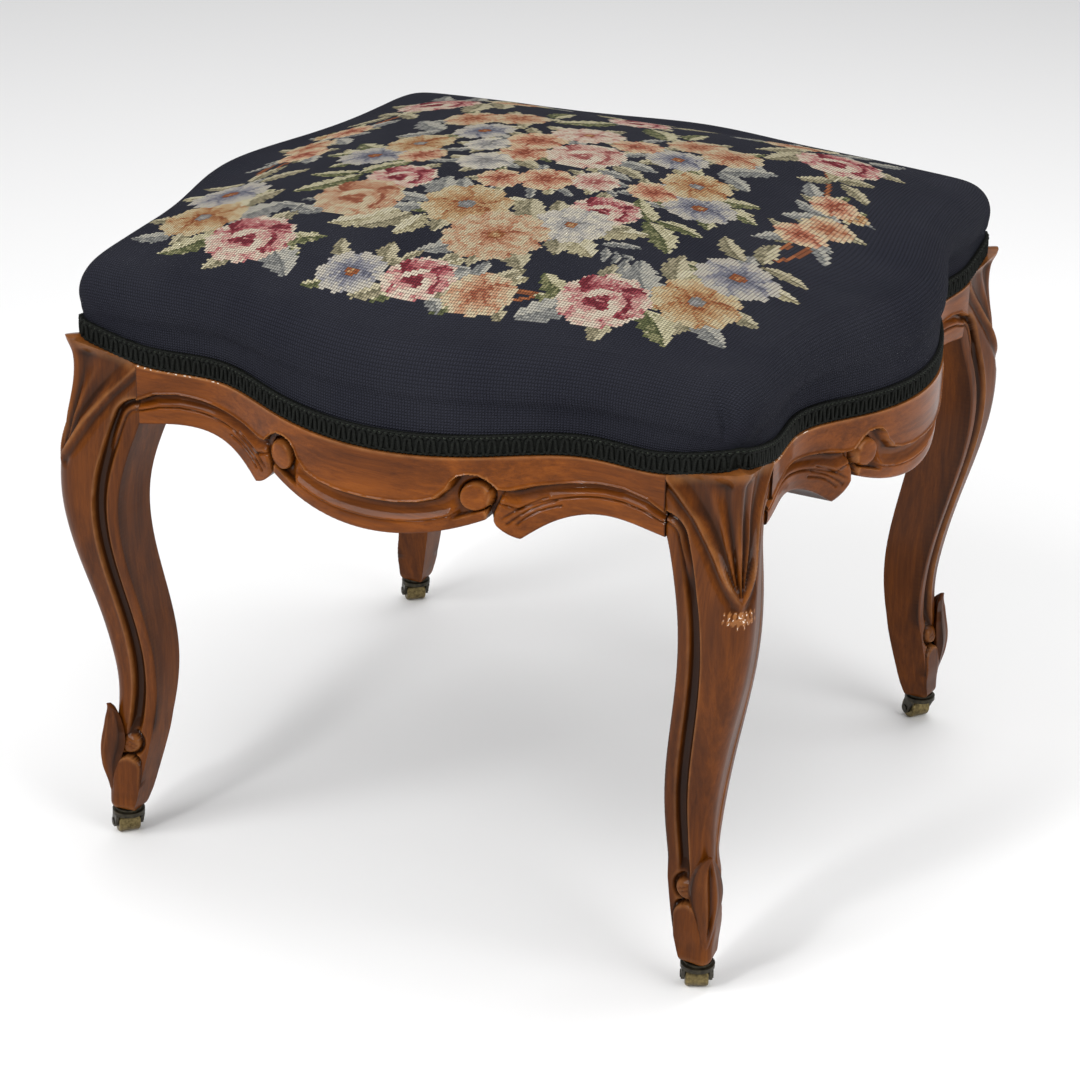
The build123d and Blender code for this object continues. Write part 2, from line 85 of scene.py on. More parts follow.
# Cabriole leg: height, face, corner and corner rounding of each section
LEG_SECTIONS = ((FOOT_Z, 199.5, 201.5, 6.0), (50.0, 197.5, 201.7, 8.0), (75.0, 194.6, 199.0, 8.0),
                (103.0, 195.1, 196.5, 8.0), (130.0, 198.4, 199.0, 8.0), (155.0, 203.2, 203.8, 9.0),
                (180.0, 208.6, 210.0, 10.0), (208.0, 213.6, 217.0, 12.0), (230.0, 215.2, 220.8, 13.0),
                (253.0, 213.5, 222.6, 14.0), (285.0, 208.2, 219.5, 13.0), (308.0, 208.3, 213.5, 11.0),
                (323.0, 209.2, 212.5, 8.0), (333.0, 209.5, 214.5, 7.0), (341.0, 209.5, 214.5, 7.0))
LEG_INNER = ((180.0, 29.0), (167.2, 125.0), (176.8, 240.0), (JOINT_X, 284.0))
LEG_FOOT_IN = 183.0

CORNERS = ("rear_right", "rear_left", "front_left", "front_right")
SIDES = ("front", "right", "rear", "left")


def smooth(low, high, value):
    """0 below low, 1 above high and an even rise between."""
    t = np.clip((value - low) / (high - low), 0.0, 1.0)
    return t * t * (3 - 2 * t)


def bell(value, middle, width):
    """1 at the middle, falling away evenly on both sides."""
    return np.exp(-((value - middle) / width) ** 2)


def spline(points, per_run=24, tangents=None):
    """Points of the smooth curve through some points, with end tangents if they are given."""
    p = np.asarray(points, float)
    h = np.linalg.norm(np.diff(p, axis=0), axis=1)
    pull = 3 * np.diff(p, axis=0) / h[:, None] ** 2
    none = np.zeros_like(p[:1])
    system = np.diag(2 * (np.r_[1 / h, 0] + np.r_[0, 1 / h])) + np.diag(1 / h, 1) + np.diag(1 / h, -1)
    pulls = np.vstack((pull, none)) + np.vstack((none, pull))
    if tangents is not None:
        for end in (0, -1):
            system[end] = 0
            system[end, end] = 1
            pulls[end] = tangents[end]
    slope = np.linalg.solve(system, pulls)
    t = np.linspace(0, 1, per_run, endpoint=False)[:, None]
    runs = []
    for i, step in enumerate(h):
        runs.append((2 * t**3 - 3 * t**2 + 1) * p[i] + (t**3 - 2 * t**2 + t) * step * slope[i]
                    + (3 * t**2 - 2 * t**3) * p[i + 1] + (t**3 - t**2) * step * slope[i + 1])
    return np.vstack(runs + [p[-1:]])


def on_line(points, value):
    """A line's second coordinate at some values of its first."""
    points = np.asarray(points, float)
    return np.interp(value, points[:, 0], points[:, 1])


def places(x, y, z):
    """Points from their coordinates, spread to one shape."""
    return np.stack(np.broadcast_arrays(x, y, z), axis=-1)


def arc(start, middle, end, count=40):
    """Points of the arc through three points."""
    (ax, ay), (bx, by), (cx, cy) = start, middle, end
    d = 2 * (ax * (by - cy) + bx * (cy - ay) + cx * (ay - by))
    ux = ((ax**2 + ay**2) * (by - cy) + (bx**2 + by**2) * (cy - ay) + (cx**2 + cy**2) * (ay - by)) / d
    uy = ((ax**2 + ay**2) * (cx - bx) + (bx**2 + by**2) * (ax - cx) + (cx**2 + cy**2) * (bx - ax)) / d
    angles = np.unwrap([math.atan2(y - uy, x - ux) for x, y in (start, middle, end)])
    turn = np.linspace(angles[0], angles[2], count)
    radius = math.hypot(ax - ux, ay - uy)
    return np.c_[ux + radius * np.cos(turn), uy + radius * np.sin(turn)]


def run_along(line):
    """The distance run along a line at each of its points."""
    return np.r_[0, np.cumsum(np.linalg.norm(np.diff(line, axis=0), axis=1))]


def at_run(line, run, at):
    """A line's points at some distances run along it."""
    return np.c_[np.interp(at, run, line[:, 0]), np.interp(at, run, line[:, 1])]


def dense(line, step=0.4):
    """A line's points at an even step."""
    line = np.asarray(line, float)
    run = run_along(line)
    return at_run(line, run, np.linspace(0, run[-1], max(2, int(run[-1] / step))))


def unit(vectors):
    """Vectors brought to a length of 1."""
    return vectors / np.linalg.norm(vectors, axis=-1, keepdims=True)


def ways(loop):
    """Directions along a closed loop at each of its points."""
    return unit(np.roll(loop, -1, axis=0) - np.roll(loop, 1, axis=0))


def distance(x, z, line):
    """Distance of points to a line in the plane."""
    points = dense(line)
    tree = KDTree(len(points))
    for i, (a, b) in enumerate(points):
        tree.insert((a, b, 0.0), i)
    tree.balance()
    flat = [tree.find((a, b, 0.0))[2] for a, b in zip(np.ravel(x), np.ravel(z))]
    return np.reshape(flat, np.shape(x))


def profile(points, value):
    """A moulding's depth at some places, from its corner points, with their corners eased."""
    fine = np.linspace(points[0][0], points[-1][0], 400)
    window = np.hanning(13)
    eased = np.convolve(np.pad(on_line(points, fine), 6, mode="edge"), window / window.sum(), mode="valid")
    return np.interp(value, fine, eased)


def blurred(grid, size):
    """A grid's values evened out over a number of cells."""
    kernel = np.hanning(2 * size + 3)[1:-1]
    kernel /= kernel.sum()
    out = grid
    for axis in (0, 1):
        pad = [(0, 0), (0, 0)]
        pad[axis] = (size, size)
        out = np.apply_along_axis(np.convolve, axis, np.pad(out, pad, "edge"), kernel, "valid")
    return out


def turned(points, quarter):
    """Points after quarter turns about the middle of the stool."""
    a = math.radians(90 * quarter)
    spin = np.array(((math.cos(a), math.sin(a), 0), (-math.sin(a), math.cos(a), 0), (0, 0, 1)))
    return np.asarray(points, float) @ spin


def add_object(name, data):
    """A new object in the scene."""
    made = bpy.data.objects.new(name, data)
    bpy.context.scene.collection.objects.link(made)
    return made


def make_piece(name, points, faces, material, sharp=40.0, closed=True):
    """A new object of the given points in millimetres, riding on the frame."""
    mesh = bpy.data.meshes.new(name)
    mesh.from_pydata((np.asarray(points) * MM).tolist(), [], faces)
    if closed:
        solid = bmesh.new()
        solid.from_mesh(mesh)
        bmesh.ops.recalc_face_normals(solid, faces=solid.faces)
        solid.to_mesh(mesh)
        solid.free()
    mesh.shade_smooth()
    mesh.set_sharp_from_angle(angle=math.radians(sharp))
    mesh.materials.append(material)
    piece = add_object(name, mesh)
    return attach(piece, "frame")


def set_values(piece, name, values):
    """Stores one number, or one vector, per point for the material to read."""
    values = np.asarray(values, np.float32)
    kind, field = ("FLOAT", "value") if values.ndim == 1 else ("FLOAT_VECTOR", "vector")
    made = piece.data.attributes.new(name, kind, "POINT")
    made.data.foreach_set(field, values.ravel())


def grid_faces(rows, columns, wrap_columns=False, wrap_rows=False, start=0):
    """Quads of a grid of points in rows, joined up at its ends where it wraps."""
    faces = []
    for r in range(rows if wrap_rows else rows - 1):
        a = start + r * columns
        b = start + (r + 1) % rows * columns
        for c in range(columns if wrap_columns else columns - 1):
            d = (c + 1) % columns
            faces.append((a + c, a + d, b + d, b + c))
    return faces


def tube_faces(rings, columns):
    """Faces of a tube of rings, with both its ends closed."""
    ends = [tuple(range(columns)), tuple(range((rings - 1) * columns, rings * columns))]
    return grid_faces(rings, columns, wrap_columns=True) + ends


# Materials

def linear(red, green, blue):
    """A screen colour of 0 to 255 as the linear colour that shaders take."""
    parts = [c / 255 for c in (red, green, blue)]
    return tuple(c / 12.92 if c <= 0.04045 else ((c + 0.055) / 1.055) ** 2.4 for c in parts) + (1.0,)


def new_material(name, **settings):
    """A material with its shader's plain sockets set; spaces in their names are written as underscores."""
    made = bpy.data.materials.new(name)
    made.use_nodes = True
    shader = made.node_tree.nodes["Principled BSDF"]
    for key, value in settings.items():
        shader.inputs[key.replace("_", " ")].default_value = value
    return made, made.node_tree, shader


def add_node(tree, kind, inputs=None, **settings):
    """A node with its settings and its inputs, which are values or other nodes' outputs."""
    made = tree.nodes.new(kind)
    for key, value in settings.items():
        setattr(made, key, value)
    for key, value in (inputs or {}).items():
        if isinstance(value, bpy.types.NodeSocket):
            tree.links.new(value, made.inputs[key])
        else:
            made.inputs[key].default_value = value
    return made


def ramp(tree, source, stops):
    """A colour ramp over a value."""
    made = add_node(tree, "ShaderNodeValToRGB", {"Fac": source})
    while len(made.color_ramp.elements) < len(stops):
        made.color_ramp.elements.new(0.5)
    for element, (place, colour) in zip(made.color_ramp.elements, stops):
        element.position = place
        element.color = colour
    return made.outputs["Color"]


def mixed(tree, factor, first, second, blend="MIX"):
    """Two colours mixed by a factor."""
    inputs = {0: factor, 6: first, 7: second}
    return add_node(tree, "ShaderNodeMix", inputs, data_type="RGBA", blend_type=blend).outputs[2]


def calc(tree, operation, first, second=0.0):
    """The result of an operation on one value or two."""
    return add_node(tree, "ShaderNodeMath", {0: first, 1: second}, operation=operation).outputs[0]


def attribute(tree, name):
    """A value that the mesh stores."""
    return add_node(tree, "ShaderNodeAttribute", attribute_name=name)


def object_place(tree):
    """A point's place on its object, in metres."""
    return add_node(tree, "ShaderNodeTexCoord").outputs["Object"]


def noise(tree, vector, scale, detail=3.0, rough=0.55, distortion=0.0):
    """Cloudy noise from 0 to 1."""
    made = add_node(tree, "ShaderNodeTexNoise", {"Vector": vector, "Scale": scale, "Detail": detail,
                                                 "Roughness": rough, "Distortion": distortion})
    return made.outputs["Fac"]


def stretched(tree, vector, scale):
    """A vector with each of its parts scaled."""
    return add_node(tree, "ShaderNodeMapping", {"Vector": vector, "Scale": scale}).outputs["Vector"]


def weave(tree, place, scale):
    """The height of a plain weave."""
    threads = []
    for way in ("X", "Y"):
        wave = add_node(tree, "ShaderNodeTexWave", {"Vector": place, "Scale": scale}, bands_direction=way)
        threads.append(wave.outputs["Fac"])
    return calc(tree, "MULTIPLY", *threads)


def paint(tree, shader, colour):
    """Makes a colour the shader's own."""
    tree.links.new(colour, shader.inputs["Base Color"])


def bump(tree, height, shader, strength, depth):
    """Relief of a depth in metres."""
    made = add_node(tree, "ShaderNodeBump", {"Height": height, "Strength": strength, "Distance": depth})
    tree.links.new(made.outputs["Normal"], shader.inputs["Normal"])


# Colours of the wood by its tone; of its dark joints, with the painted shade in its recesses and on its
# hidden faces; of its worn edges, with the painted highlights on its raised edges; and of its chipped places
WOOD_TONES = ((0.30, (70, 33, 6)), (0.47, (101, 51, 10)), (0.58, (121, 63, 13)), (0.72, (143, 79, 20)))
STAIN_AND_SHADE_COLOUR = (28, 13, 5)
WEAR_AND_HIGHLIGHT_COLOUR = (186, 126, 74)
CHIPPED_PALE = (226, 212, 196)
# Wear beyond this share shows pale chips
CHIPS_FROM = 0.8


def carved_wood():
    """Polished brown wood: long grain, pores, dark joints, painted shade in the recesses and on hidden
    faces, and pale worn edges with painted highlights on the raised carving.
    """
    made, tree, shader = new_material("carved_wood", Coat_Weight=0.22, Coat_Roughness=0.1,
                                      Specular_IOR_Level=0.04)
    grain = attribute(tree, "grain").outputs["Vector"]

    def grain_noise(scale, *settings):
        return noise(tree, stretched(tree, grain, scale), 1.0, *settings)

    broad = grain_noise((0.006, 0.05, 0.05), 4.0, 0.6, 1.2)
    lines = grain_noise((0.012, 0.42, 0.42), 5.0, 0.65, 0.4)
    pores = grain_noise((0.09, 2.6, 2.6), 2.0, 0.6)
    tone = calc(tree, "ADD", calc(tree, "MULTIPLY", broad, 0.6), calc(tree, "MULTIPLY", lines, 0.4))
    colour = ramp(tree, tone, [(at, linear(*shade)) for at, shade in WOOD_TONES])
    dark_pores = ramp(tree, pores, ((0.36, (0.72, 0.68, 0.66, 1)), (0.5, (1, 1, 1, 1))))
    colour = mixed(tree, 0.45, colour, dark_pores, "MULTIPLY")
    # Dark stain at the joints, and painted shade in the recesses and on hidden faces
    stain_and_shade = attribute(tree, "stain_and_shade").outputs["Fac"]
    colour = mixed(tree, stain_and_shade, colour, linear(*STAIN_AND_SHADE_COLOUR))
    # Pale wear where the edges are rubbed, and painted highlights on the carving's raised edges
    wear_and_highlight = attribute(tree, "wear_and_highlight").outputs["Fac"]
    patchy_wear_and_highlight = calc(tree, "MULTIPLY", wear_and_highlight, grain_noise((0.12, 0.12, 0.12), 3.0))
    colour = mixed(tree, patchy_wear_and_highlight, colour, linear(*WEAR_AND_HIGHLIGHT_COLOUR))
    specks = grain_noise((0.55, 0.55, 0.55), 2.0)
    chipped = calc(tree, "MULTIPLY", calc(tree, "GREATER_THAN", wear_and_highlight, CHIPS_FROM),
                   calc(tree, "GREATER_THAN", specks, 0.6))
    colour = mixed(tree, chipped, colour, linear(*CHIPPED_PALE))
    paint(tree, shader, colour)
    smudge = grain_noise((0.03, 0.03, 0.03), 4.0)
    gloss = calc(tree, "ADD", calc(tree, "MULTIPLY", smudge, 0.22), 0.20)
    tree.links.new(calc(tree, "ADD", gloss, calc(tree, "MULTIPLY", stain_and_shade, 0.2)), shader.inputs["Roughness"])
    bump(tree, calc(tree, "ADD", pores, lines), shader, 0.1, 0.0004)
    return made


WOOD = carved_wood()


def set_wood(piece, stain_and_shade, wear_and_highlight, grain):
    """Stores what the wood's material reads at each point of a carved piece."""
    for name, values in (("stain_and_shade", stain_and_shade), ("wear_and_highlight", wear_and_highlight), ("grain", grain)):
        set_values(piece, name, values)


# Camera at the photograph's place and angle, in metres and degrees
AZIMUTH, ELEVATION, ROLL = 24.95, 24.22, 1.62
CAMERA_AT = (0.7565, -1.6362, 0.9754)
SENSOR = 36.0
LENS = 105.1
camera_data = bpy.data.cameras.new("camera")
camera_data.sensor_width = SENSOR
camera_data.lens = LENS
camera = add_object("camera", camera_data)
camera_place = Matrix.Translation(CAMERA_AT)
for angle, axis in ((AZIMUTH, "Z"), (90.0 - ELEVATION, "X"), (ROLL, "Z")):
    camera_place = camera_place @ Matrix.Rotation(math.radians(angle), 4, axis)
camera.matrix_world = camera_place
bpy.context.scene.camera = camera
bpy.context.scene.view_settings.view_transform = "Standard"


# Rails

# How much the cushion's plan is softened at the bow, shoulder, waist, face and corner
SOFT_BOW, SOFT_SHOULDER, SOFT_WAIST, SOFT_FACE, SOFT_CORNER = 4.0, 1.6, 6.0, 1.5, 10.0
SIDE_STEPS = 60


def side_curve(scale=1.0, soft=0.0):
    """A side's plan from joint to joint, scaled, and softened as the cushion is."""
    half = scale * np.array(((0, BOW_Y - SOFT_BOW * soft), (SHOULDER[0], SHOULDER[1] - SOFT_SHOULDER * soft),
                             (WAIST[0], WAIST[1] + SOFT_WAIST * soft), (JOINT_X, FACE_Y + SOFT_FACE * soft)))
    return spline(np.vstack((half[:0:-1] * (-1, 1), half)), SIDE_STEPS, ((1, 0), (1, 0)))


FACE_CURVE = side_curve()
GIMP_CURVE = spline([(-x, z) for x, z in reversed(GIMP_LINE[1:])] + list(GIMP_LINE))
BELLY_CURVE = arc((-BELLY_END[0], BELLY_END[1]), (0, BELLY_Z), BELLY_END, 81)[40:]
LEAF_CURVE = arc(LEAF_INNER, LEAF_LOW, LEAF_TIP)
ARCH_CURVE = spline(ARCH_POINTS)
LOWER_EDGE = np.vstack((BELLY_CURVE, [NOTCH_TOP], LEAF_CURVE, ARCH_CURVE[1:]))

# Depths of the mouldings below the field, from the lower edge (0) to the field's border (1)
BELLY_PROFILE = ((0.0, 2.6), (0.05, 1.8), (0.16, 1.5), (0.34, 1.7), (0.37, 2.2), (0.41, 1.3), (0.45, 1.7),
                 (0.56, 3.6), (0.70, 4.8), (0.84, 5.2), (0.92, 4.4), (0.96, 0.9), (1.0, 0.0))
ARCH_PROFILE = ((0.0, 2.8), (0.05, 2.0), (0.30, 1.6), (0.48, 1.7), (0.53, 3.0), (0.58, 1.6), (0.64, 1.7),
                (0.78, 4.4), (0.90, 4.8), (0.95, 1.2), (1.0, 0.0))
# Other depths and widths of a rail's carving
GAP_DEPTH = 6.0
LIP_RISE, LIP_WIDE = 0.9, 0.8
BAND_DEPTH, BAND_EASE = 1.6, 1.2
DISC_DEPTH = 0.9
RING_DEPTH, RING_WIDE = 2.0, 0.8
FLUTE_DEPTH, FLUTE_WIDE = 1.1, 0.7
# Stretches in which one form gives way to the next, by distance from the belly's edge or from the middle
BAND_EDGE = (5.0, 6.5)
SCROLL_FROM = (47.0, 53.0)
GAP_FROM = (66.4, 67.4)
FLUTES_FROM = (72.0, 78.0)
# Wear of a rail's top edge, which is more at the left end, stain at its joints, and painted shade on its
# hidden faces
RUBBED, RUBBED_LEFT = 0.5, 0.45
LEFT_END = (-80.0, -125.0)
SEAM_STAIN, SEAM_WIDE = 0.8, 0.7
HIDDEN_FACE_SHADE = 0.8
# Shift of the grain from one rail, or one leg, to the next, and the place where it starts on a leg
RAIL_GRAIN = np.array((310.0, 170.0, 0.0))
LEG_GRAIN = np.array((410.0, 90.0, 0.0))
LEG_GRAIN_AT = (0.0, 0.0, 50.0)
RAIL_ROWS = 96
# Columns of half a rail's grid, closer together at the scroll and the leaf
HALF_RAIL = np.unique(np.round(np.r_[np.arange(0, 44, 1.1), np.arange(44, 76, 0.5), np.arange(76, 165, 0.9),
                                     164.6, JOINT_X], 3))


def gimp_height(lateral):
    """Height of the braid's lower edge, by the distance from a side's middle."""
    return on_line(GIMP_CURVE[len(GIMP_CURVE) // 2:], np.abs(lateral))


def rail_carving(x, z):
    """How far a rail's face is carved back at each place."""
    x = np.abs(x)
    field = on_line(FIELD_LINE, x)
    leaf_edge = on_line(LEAF_EDGE, z)
    to_field = distance(x, z, FIELD_LINE)
    to_belly = distance(x, z, BELLY_CURVE)
    to_arch = distance(x, z, np.vstack((LEAF_CURVE, ARCH_CURVE)))
    belly = profile(BELLY_PROFILE, to_belly / (to_belly + to_field + 1e-6))
    arch = profile(ARCH_PROFILE, to_arch / (to_arch + to_field + 1e-6))
    band = BAND_DEPTH + smooth(BAND_EASE, 0.0, to_belly)
    scroll = band + (GAP_DEPTH - band) * np.maximum(smooth(*BAND_EDGE, to_belly), smooth(*GAP_FROM, x))
    depth = belly + (scroll - belly) * smooth(*SCROLL_FROM, x)
    from_disc = np.hypot(x - DISC_AT[0], z - DISC_AT[1])
    disc = DISC_DEPTH + np.clip(from_disc / DISC_R, 0, 1) ** 6
    joined = smooth(2.0, -5.0, z - DISC_AT[1]) * smooth(DISC_AT[0] + 6.0, DISC_AT[0] - 1.0, x)
    round_disc = smooth(DISC_R, DISC_R + 1.0, from_disc)
    depth = disc + (depth - disc) * round_disc
    ring = bell(from_disc, DISC_R + 0.6, RING_WIDE)
    depth = depth + RING_DEPTH * ring * (1 - joined)
    leaf = arch
    for points in FLUTES:
        near = distance(x, z, spline(points, 12))
        leaf = leaf + FLUTE_DEPTH * bell(near, 0.0, FLUTE_WIDE) * smooth(*FLUTES_FROM, x)
    side = smooth(-0.5, 0.9, x - leaf_edge)
    leaf = leaf + 1.6 * smooth(4.0, 0.0, x - leaf_edge) ** 2 * (x < 82)
    depth = depth + (leaf - depth) * side
    depth = np.where(z > field, 0.0, depth)
    depth = depth * smooth(0.0, 0.5, to_field + (z <= field) * 0.5)
    return depth - LIP_RISE * bell(to_field, 0.0, LIP_WIDE)


def relief_shade_and_highlight(depth, size=3):
    """How much painted shade each recess of a carved grid gets, and how much painted highlight, in the
    colour of pale wear, each raised edge gets.
    """
    height = depth - blurred(depth, size)
    wide = depth - blurred(depth, 3 * size)
    stain_and_shade = np.clip(0.55 * height + 0.28 * wide + 0.05 * depth, 0, 0.85)
    wear_and_highlight = np.clip(-0.5 * height - 0.12 * wide - 0.08, 0, 0.8)
    return stain_and_shade, wear_and_highlight


def make_rails():
    xs = np.r_[-HALF_RAIL[:0:-1], HALF_RAIL]
    low = on_line(LOWER_EDGE, np.abs(xs))
    top = gimp_height(xs)
    face = on_line(FACE_CURVE, xs)
    share = np.linspace(0, 1, RAIL_ROWS)[:, None]
    z = low + (top - low) * share
    x = np.broadcast_to(xs, z.shape)
    depth = rail_carving(x, z)
    # Painted shade in the carving's recesses and painted highlights on its raised edges
    stain_and_shade, wear_and_highlight = relief_shade_and_highlight(depth)
    rubbed = (RUBBED + RUBBED_LEFT * smooth(*LEFT_END, x)) * smooth(0.95, 0.995, share)
    wear_and_highlight = np.clip(wear_and_highlight + rubbed, 0, 1)
    stain_and_shade = np.clip(stain_and_shade + SEAM_STAIN * smooth(JOINT_X - SEAM_WIDE, JOINT_X, np.abs(x)), 0, 0.95)
    setback = face - REBATE
    back = [places(xs, -setback, top), places(xs, -setback, RAIL_TOP),
            places(xs, -RAIL_INNER_Y, RAIL_TOP), places(xs, -RAIL_INNER_Y, low)]
    for k in (0.02, 0.3, 0.6, 0.93):
        back.append(places(xs, -(RAIL_INNER_Y + (face - depth[0] - RAIL_INNER_Y) * k), low))
    loops = np.concatenate((places(x, depth - face, z), back))
    points = loops.transpose(1, 0, 2).reshape(-1, 3)
    faces = tube_faces(len(xs), len(loops))
    plain = np.zeros((len(back), len(xs)))
    # The hidden faces behind and under the rail are darkened with painted shade
    stain_and_shade_values = np.concatenate((stain_and_shade, plain + HIDDEN_FACE_SHADE)).T.ravel()
    wear_and_highlight_values = np.concatenate((wear_and_highlight, plain)).T.ravel()
    for quarter, side in enumerate(SIDES):
        piece = make_piece(f"carved_rail_{side}", turned(points, quarter), faces, WOOD)
        set_wood(piece, stain_and_shade_values, wear_and_highlight_values, points + quarter * RAIL_GRAIN)
        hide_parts(f"rail_{side}")


# Legs

SECTION_CURVES = [spline([(row[0], row[k]) for row in LEG_SECTIONS]) for k in (1, 2, 3)]
INNER_CURVE = spline(LEG_INNER)
LEG_EDGE = np.vstack((ARCH_CURVE[36:], INNER_CURVE[::-1], [(LEG_FOOT_IN, FOOT_Z)]))
# Moulding along a leg's inner edge: depth by distance from the edge
LEG_PROFILE = ((0.0, 2.6), (0.8, 1.8), (2.0, 1.5), (7.0, 1.4), (7.8, 3.0), (8.6, 4.6), (10.5, 5.6),
               (12.6, 5.4), (14.0, 4.2), (14.9, 0.6), (15.6, -0.5), (16.6, 0.0), (60.0, 0.0))
# Border of the carved knee: height and distance from the corner
KNEE_BORDER = ((255.0, -1.0), (258.0, 0.0), (262.0, 3.0), (270.0, 8.0), (283.0, 15.0), (299.0, 25.0),
               (312.0, 36.5), (322.0, 46.5), (340.0, 60.0))
# The arch's moulding at the joint, as depth by distance from the edge, which the leg's moulding takes up
JOINT_WIDE = 15.8
JOINT_PROFILE = tuple((JOINT_WIDE * share, depth) for share, depth in ARCH_PROFILE) + (LEG_PROFILE[-1],)
# Heights over which the joint's moulding takes over, the leg's moulding begins and the toe's carving ends
JOINT_FROM = (258.0, 282.0)
MOULDING_FROM = (68.0, 84.0)
TOE_TO = (84.0, 76.0)
# Heights over which the knee's carving begins, deepens and ends, and the slant of its border
KNEE_FROM, KNEE_DEEP, KNEE_TO = (250.0, 256.0), (257.0, 273.0), (329.0, 320.0)
KNEE_SLANT = 0.72
# Scroll beside the toe leaf and the rounded block under it: distance from the corner, height and radius
TOE_SCROLL = (13.0, 66.5, 6.0)
TOE_BLOCK = (12.0, 48.5, 9.0)
BLOCK_FROM = (FOOT_Z + 9.0, FOOT_Z + 24.0)
FOOT_ROUND = 4.5
# Knee with a rubbed patch of polish, and the patch's height and half sizes
CHIPPED = "front_right"
CHIP_Z, CHIP_WIDE, CHIP_HIGH = 249.0, 9.0, 4.5
# The legs are a little darker than the rails, and the painted shade in the recesses round their toes is
# darker still
LEG_STAIN = 0.36
TOE_SHADE_GAIN = 0.9
TOE_DARK = (102.0, 86.0)
# Rows of a leg's grid, and its columns by distance from the inner edge and then by share of the rest
LEG_ROWS = 330
NEAR_EDGE = np.linspace(0, 18, 31)
PAST_EDGE = np.linspace(0, 1, 34)[1:]


def toe_carving(from_corner, z):
    """How far a foot's faces are carved back beside the toe leaf."""
    across, up, radius = TOE_SCROLL
    dx, dz = from_corner - across, z - up
    from_eye = np.hypot(dx, dz)
    turn = np.arctan2(dz, dx)
    scroll = -2.4 * np.sqrt(np.clip(1 - (from_eye / radius) ** 2, 0, 1))
    flutes = 0.7 * bell(np.abs(dz + 0.45 * dx), 1.2, 0.45) * smooth(radius, 2.0, from_eye)
    hollow = 2.6 * bell(from_eye, radius + 1.2, 1.3)
    hollow = hollow * smooth(-0.3, 0.5, dx / radius) * smooth(2.2, 1.6, turn)
    across, up, radius = TOE_BLOCK
    bx, bz = from_corner - across, z - up
    from_block = np.hypot(bx, np.maximum(bz, 0))
    block = -1.2 * smooth(radius + 0.4, radius - 0.6, from_block) * smooth(*BLOCK_FROM, z)
    cut = 4.0 * bell(from_block, radius + 1.1, 1.1) * smooth(-2.0, 2.0, bz) * smooth(10.0, 5.0, bx)
    return scroll + flutes + np.maximum(hollow, cut) + block


def leg_carving(from_corner, lateral, z):
    """How far a leg's outer faces are carved back at each place."""
    to_edge = distance(lateral, z, LEG_EDGE)
    moulding = profile(LEG_PROFILE, to_edge)
    at_joint = profile(JOINT_PROFILE, to_edge)
    moulding = moulding + (at_joint - moulding) * smooth(*JOINT_FROM, z)
    depth = moulding * smooth(*MOULDING_FROM, z)
    border = on_line(KNEE_BORDER, z)
    inside = (border - from_corner) * KNEE_SLANT
    wide = np.maximum(border * KNEE_SLANT, 1.0)
    share = np.clip(inside / wide, 0, 1)
    recess = 3.4 * smooth(0.0, 0.30, share) - 1.1 * bell(share, 0.56, 0.10)
    recess = recess + 0.6 * bell(share, 0.76, 0.06) - 2.8 * smooth(0.80, 1.0, share)
    rim = 1.5 * bell(inside, -4.2, 2.4) - 0.9 * bell(inside, -0.4, 1.2)
    knee = np.where(inside > 0, recess * smooth(0.0, 1.8, inside), 0.0) * smooth(*KNEE_DEEP, z)
    knee = (knee + rim) * smooth(*KNEE_FROM, z) * smooth(*KNEE_TO, z)
    depth = np.where(inside > -9, knee + depth * smooth(-2.0, -9.0, inside), depth)
    low = np.clip(FOOT_Z + FOOT_ROUND - z, 0, FOOT_ROUND)
    rounding = FOOT_ROUND - np.sqrt(FOOT_ROUND**2 - low**2)
    return depth + toe_carving(from_corner, z) * smooth(*TOE_TO, z) + 0.8 * rounding


def within_seat(points, scale):
    """Points in plan drawn in to the seat's rounded square at a scale, near the corner at +x, +y."""
    half = FACE_Y * scale
    rounding = CORNER_R * scale
    held = np.minimum(points, half - rounding)
    past = points - held
    far = np.linalg.norm(past, axis=-1, keepdims=True)
    return np.where(far > rounding, held + past * rounding / np.maximum(far, 1e-6), points)


def upright_grain(points, quarter):
    """Grain that runs up a leg, other on each leg."""
    return points[:, (2, 0, 1)] + quarter * LEG_GRAIN + LEG_GRAIN_AT


def leg_face():
    """One outer face from its inner edge on: points, outward directions and distances to the corner."""
    top = gimp_height(np.linspace(JOINT_X, FACE_Y, len(NEAR_EDGE) + len(PAST_EDGE)))
    z = FOOT_Z + (top - FOOT_Z) * np.linspace(0, 1, LEG_ROWS)[:, None]
    face, corner, rounding = [on_line(curve, z) for curve in SECTION_CURVES]
    inner = np.where(z > LEG_INNER[-1][1], JOINT_X, on_line(INNER_CURVE[:, ::-1], z))
    inner = np.where(z < LEG_INNER[0][1], on_line(((FOOT_Z, LEG_FOOT_IN), LEG_INNER[0][::-1]), z), inner)
    start = np.stack((face, inner), axis=-1)
    run = corner[..., None] - start
    length = np.linalg.norm(run, axis=-1)
    way = run / length[..., None]
    angle = np.arccos(np.clip((way[..., 0] + way[..., 1]) / math.sqrt(2), -1, 1))
    straight = length - rounding / np.tan(angle)
    total = straight + rounding * (math.pi / 2 - angle)
    near = np.r_[NEAR_EDGE, np.full(len(PAST_EDGE), NEAR_EDGE[-1])]
    along = near + (total - NEAR_EDGE[-1]) * np.r_[np.zeros(len(NEAR_EDGE)), PAST_EDGE]
    swing = np.maximum(along - straight, 0) / rounding
    cosine, sine = np.cos(swing), np.sin(swing)
    normal = np.stack((way[..., 1], -way[..., 0]), axis=-1)
    outward = np.stack((way[..., 1] * cosine + way[..., 0] * sine,
                        way[..., 1] * sine - way[..., 0] * cosine), axis=-1)
    plan = start + way * np.minimum(along, straight)[..., None] + (outward - normal) * rounding[..., None]
    return np.concatenate((plan, z[..., None]), axis=-1), outward, total - along


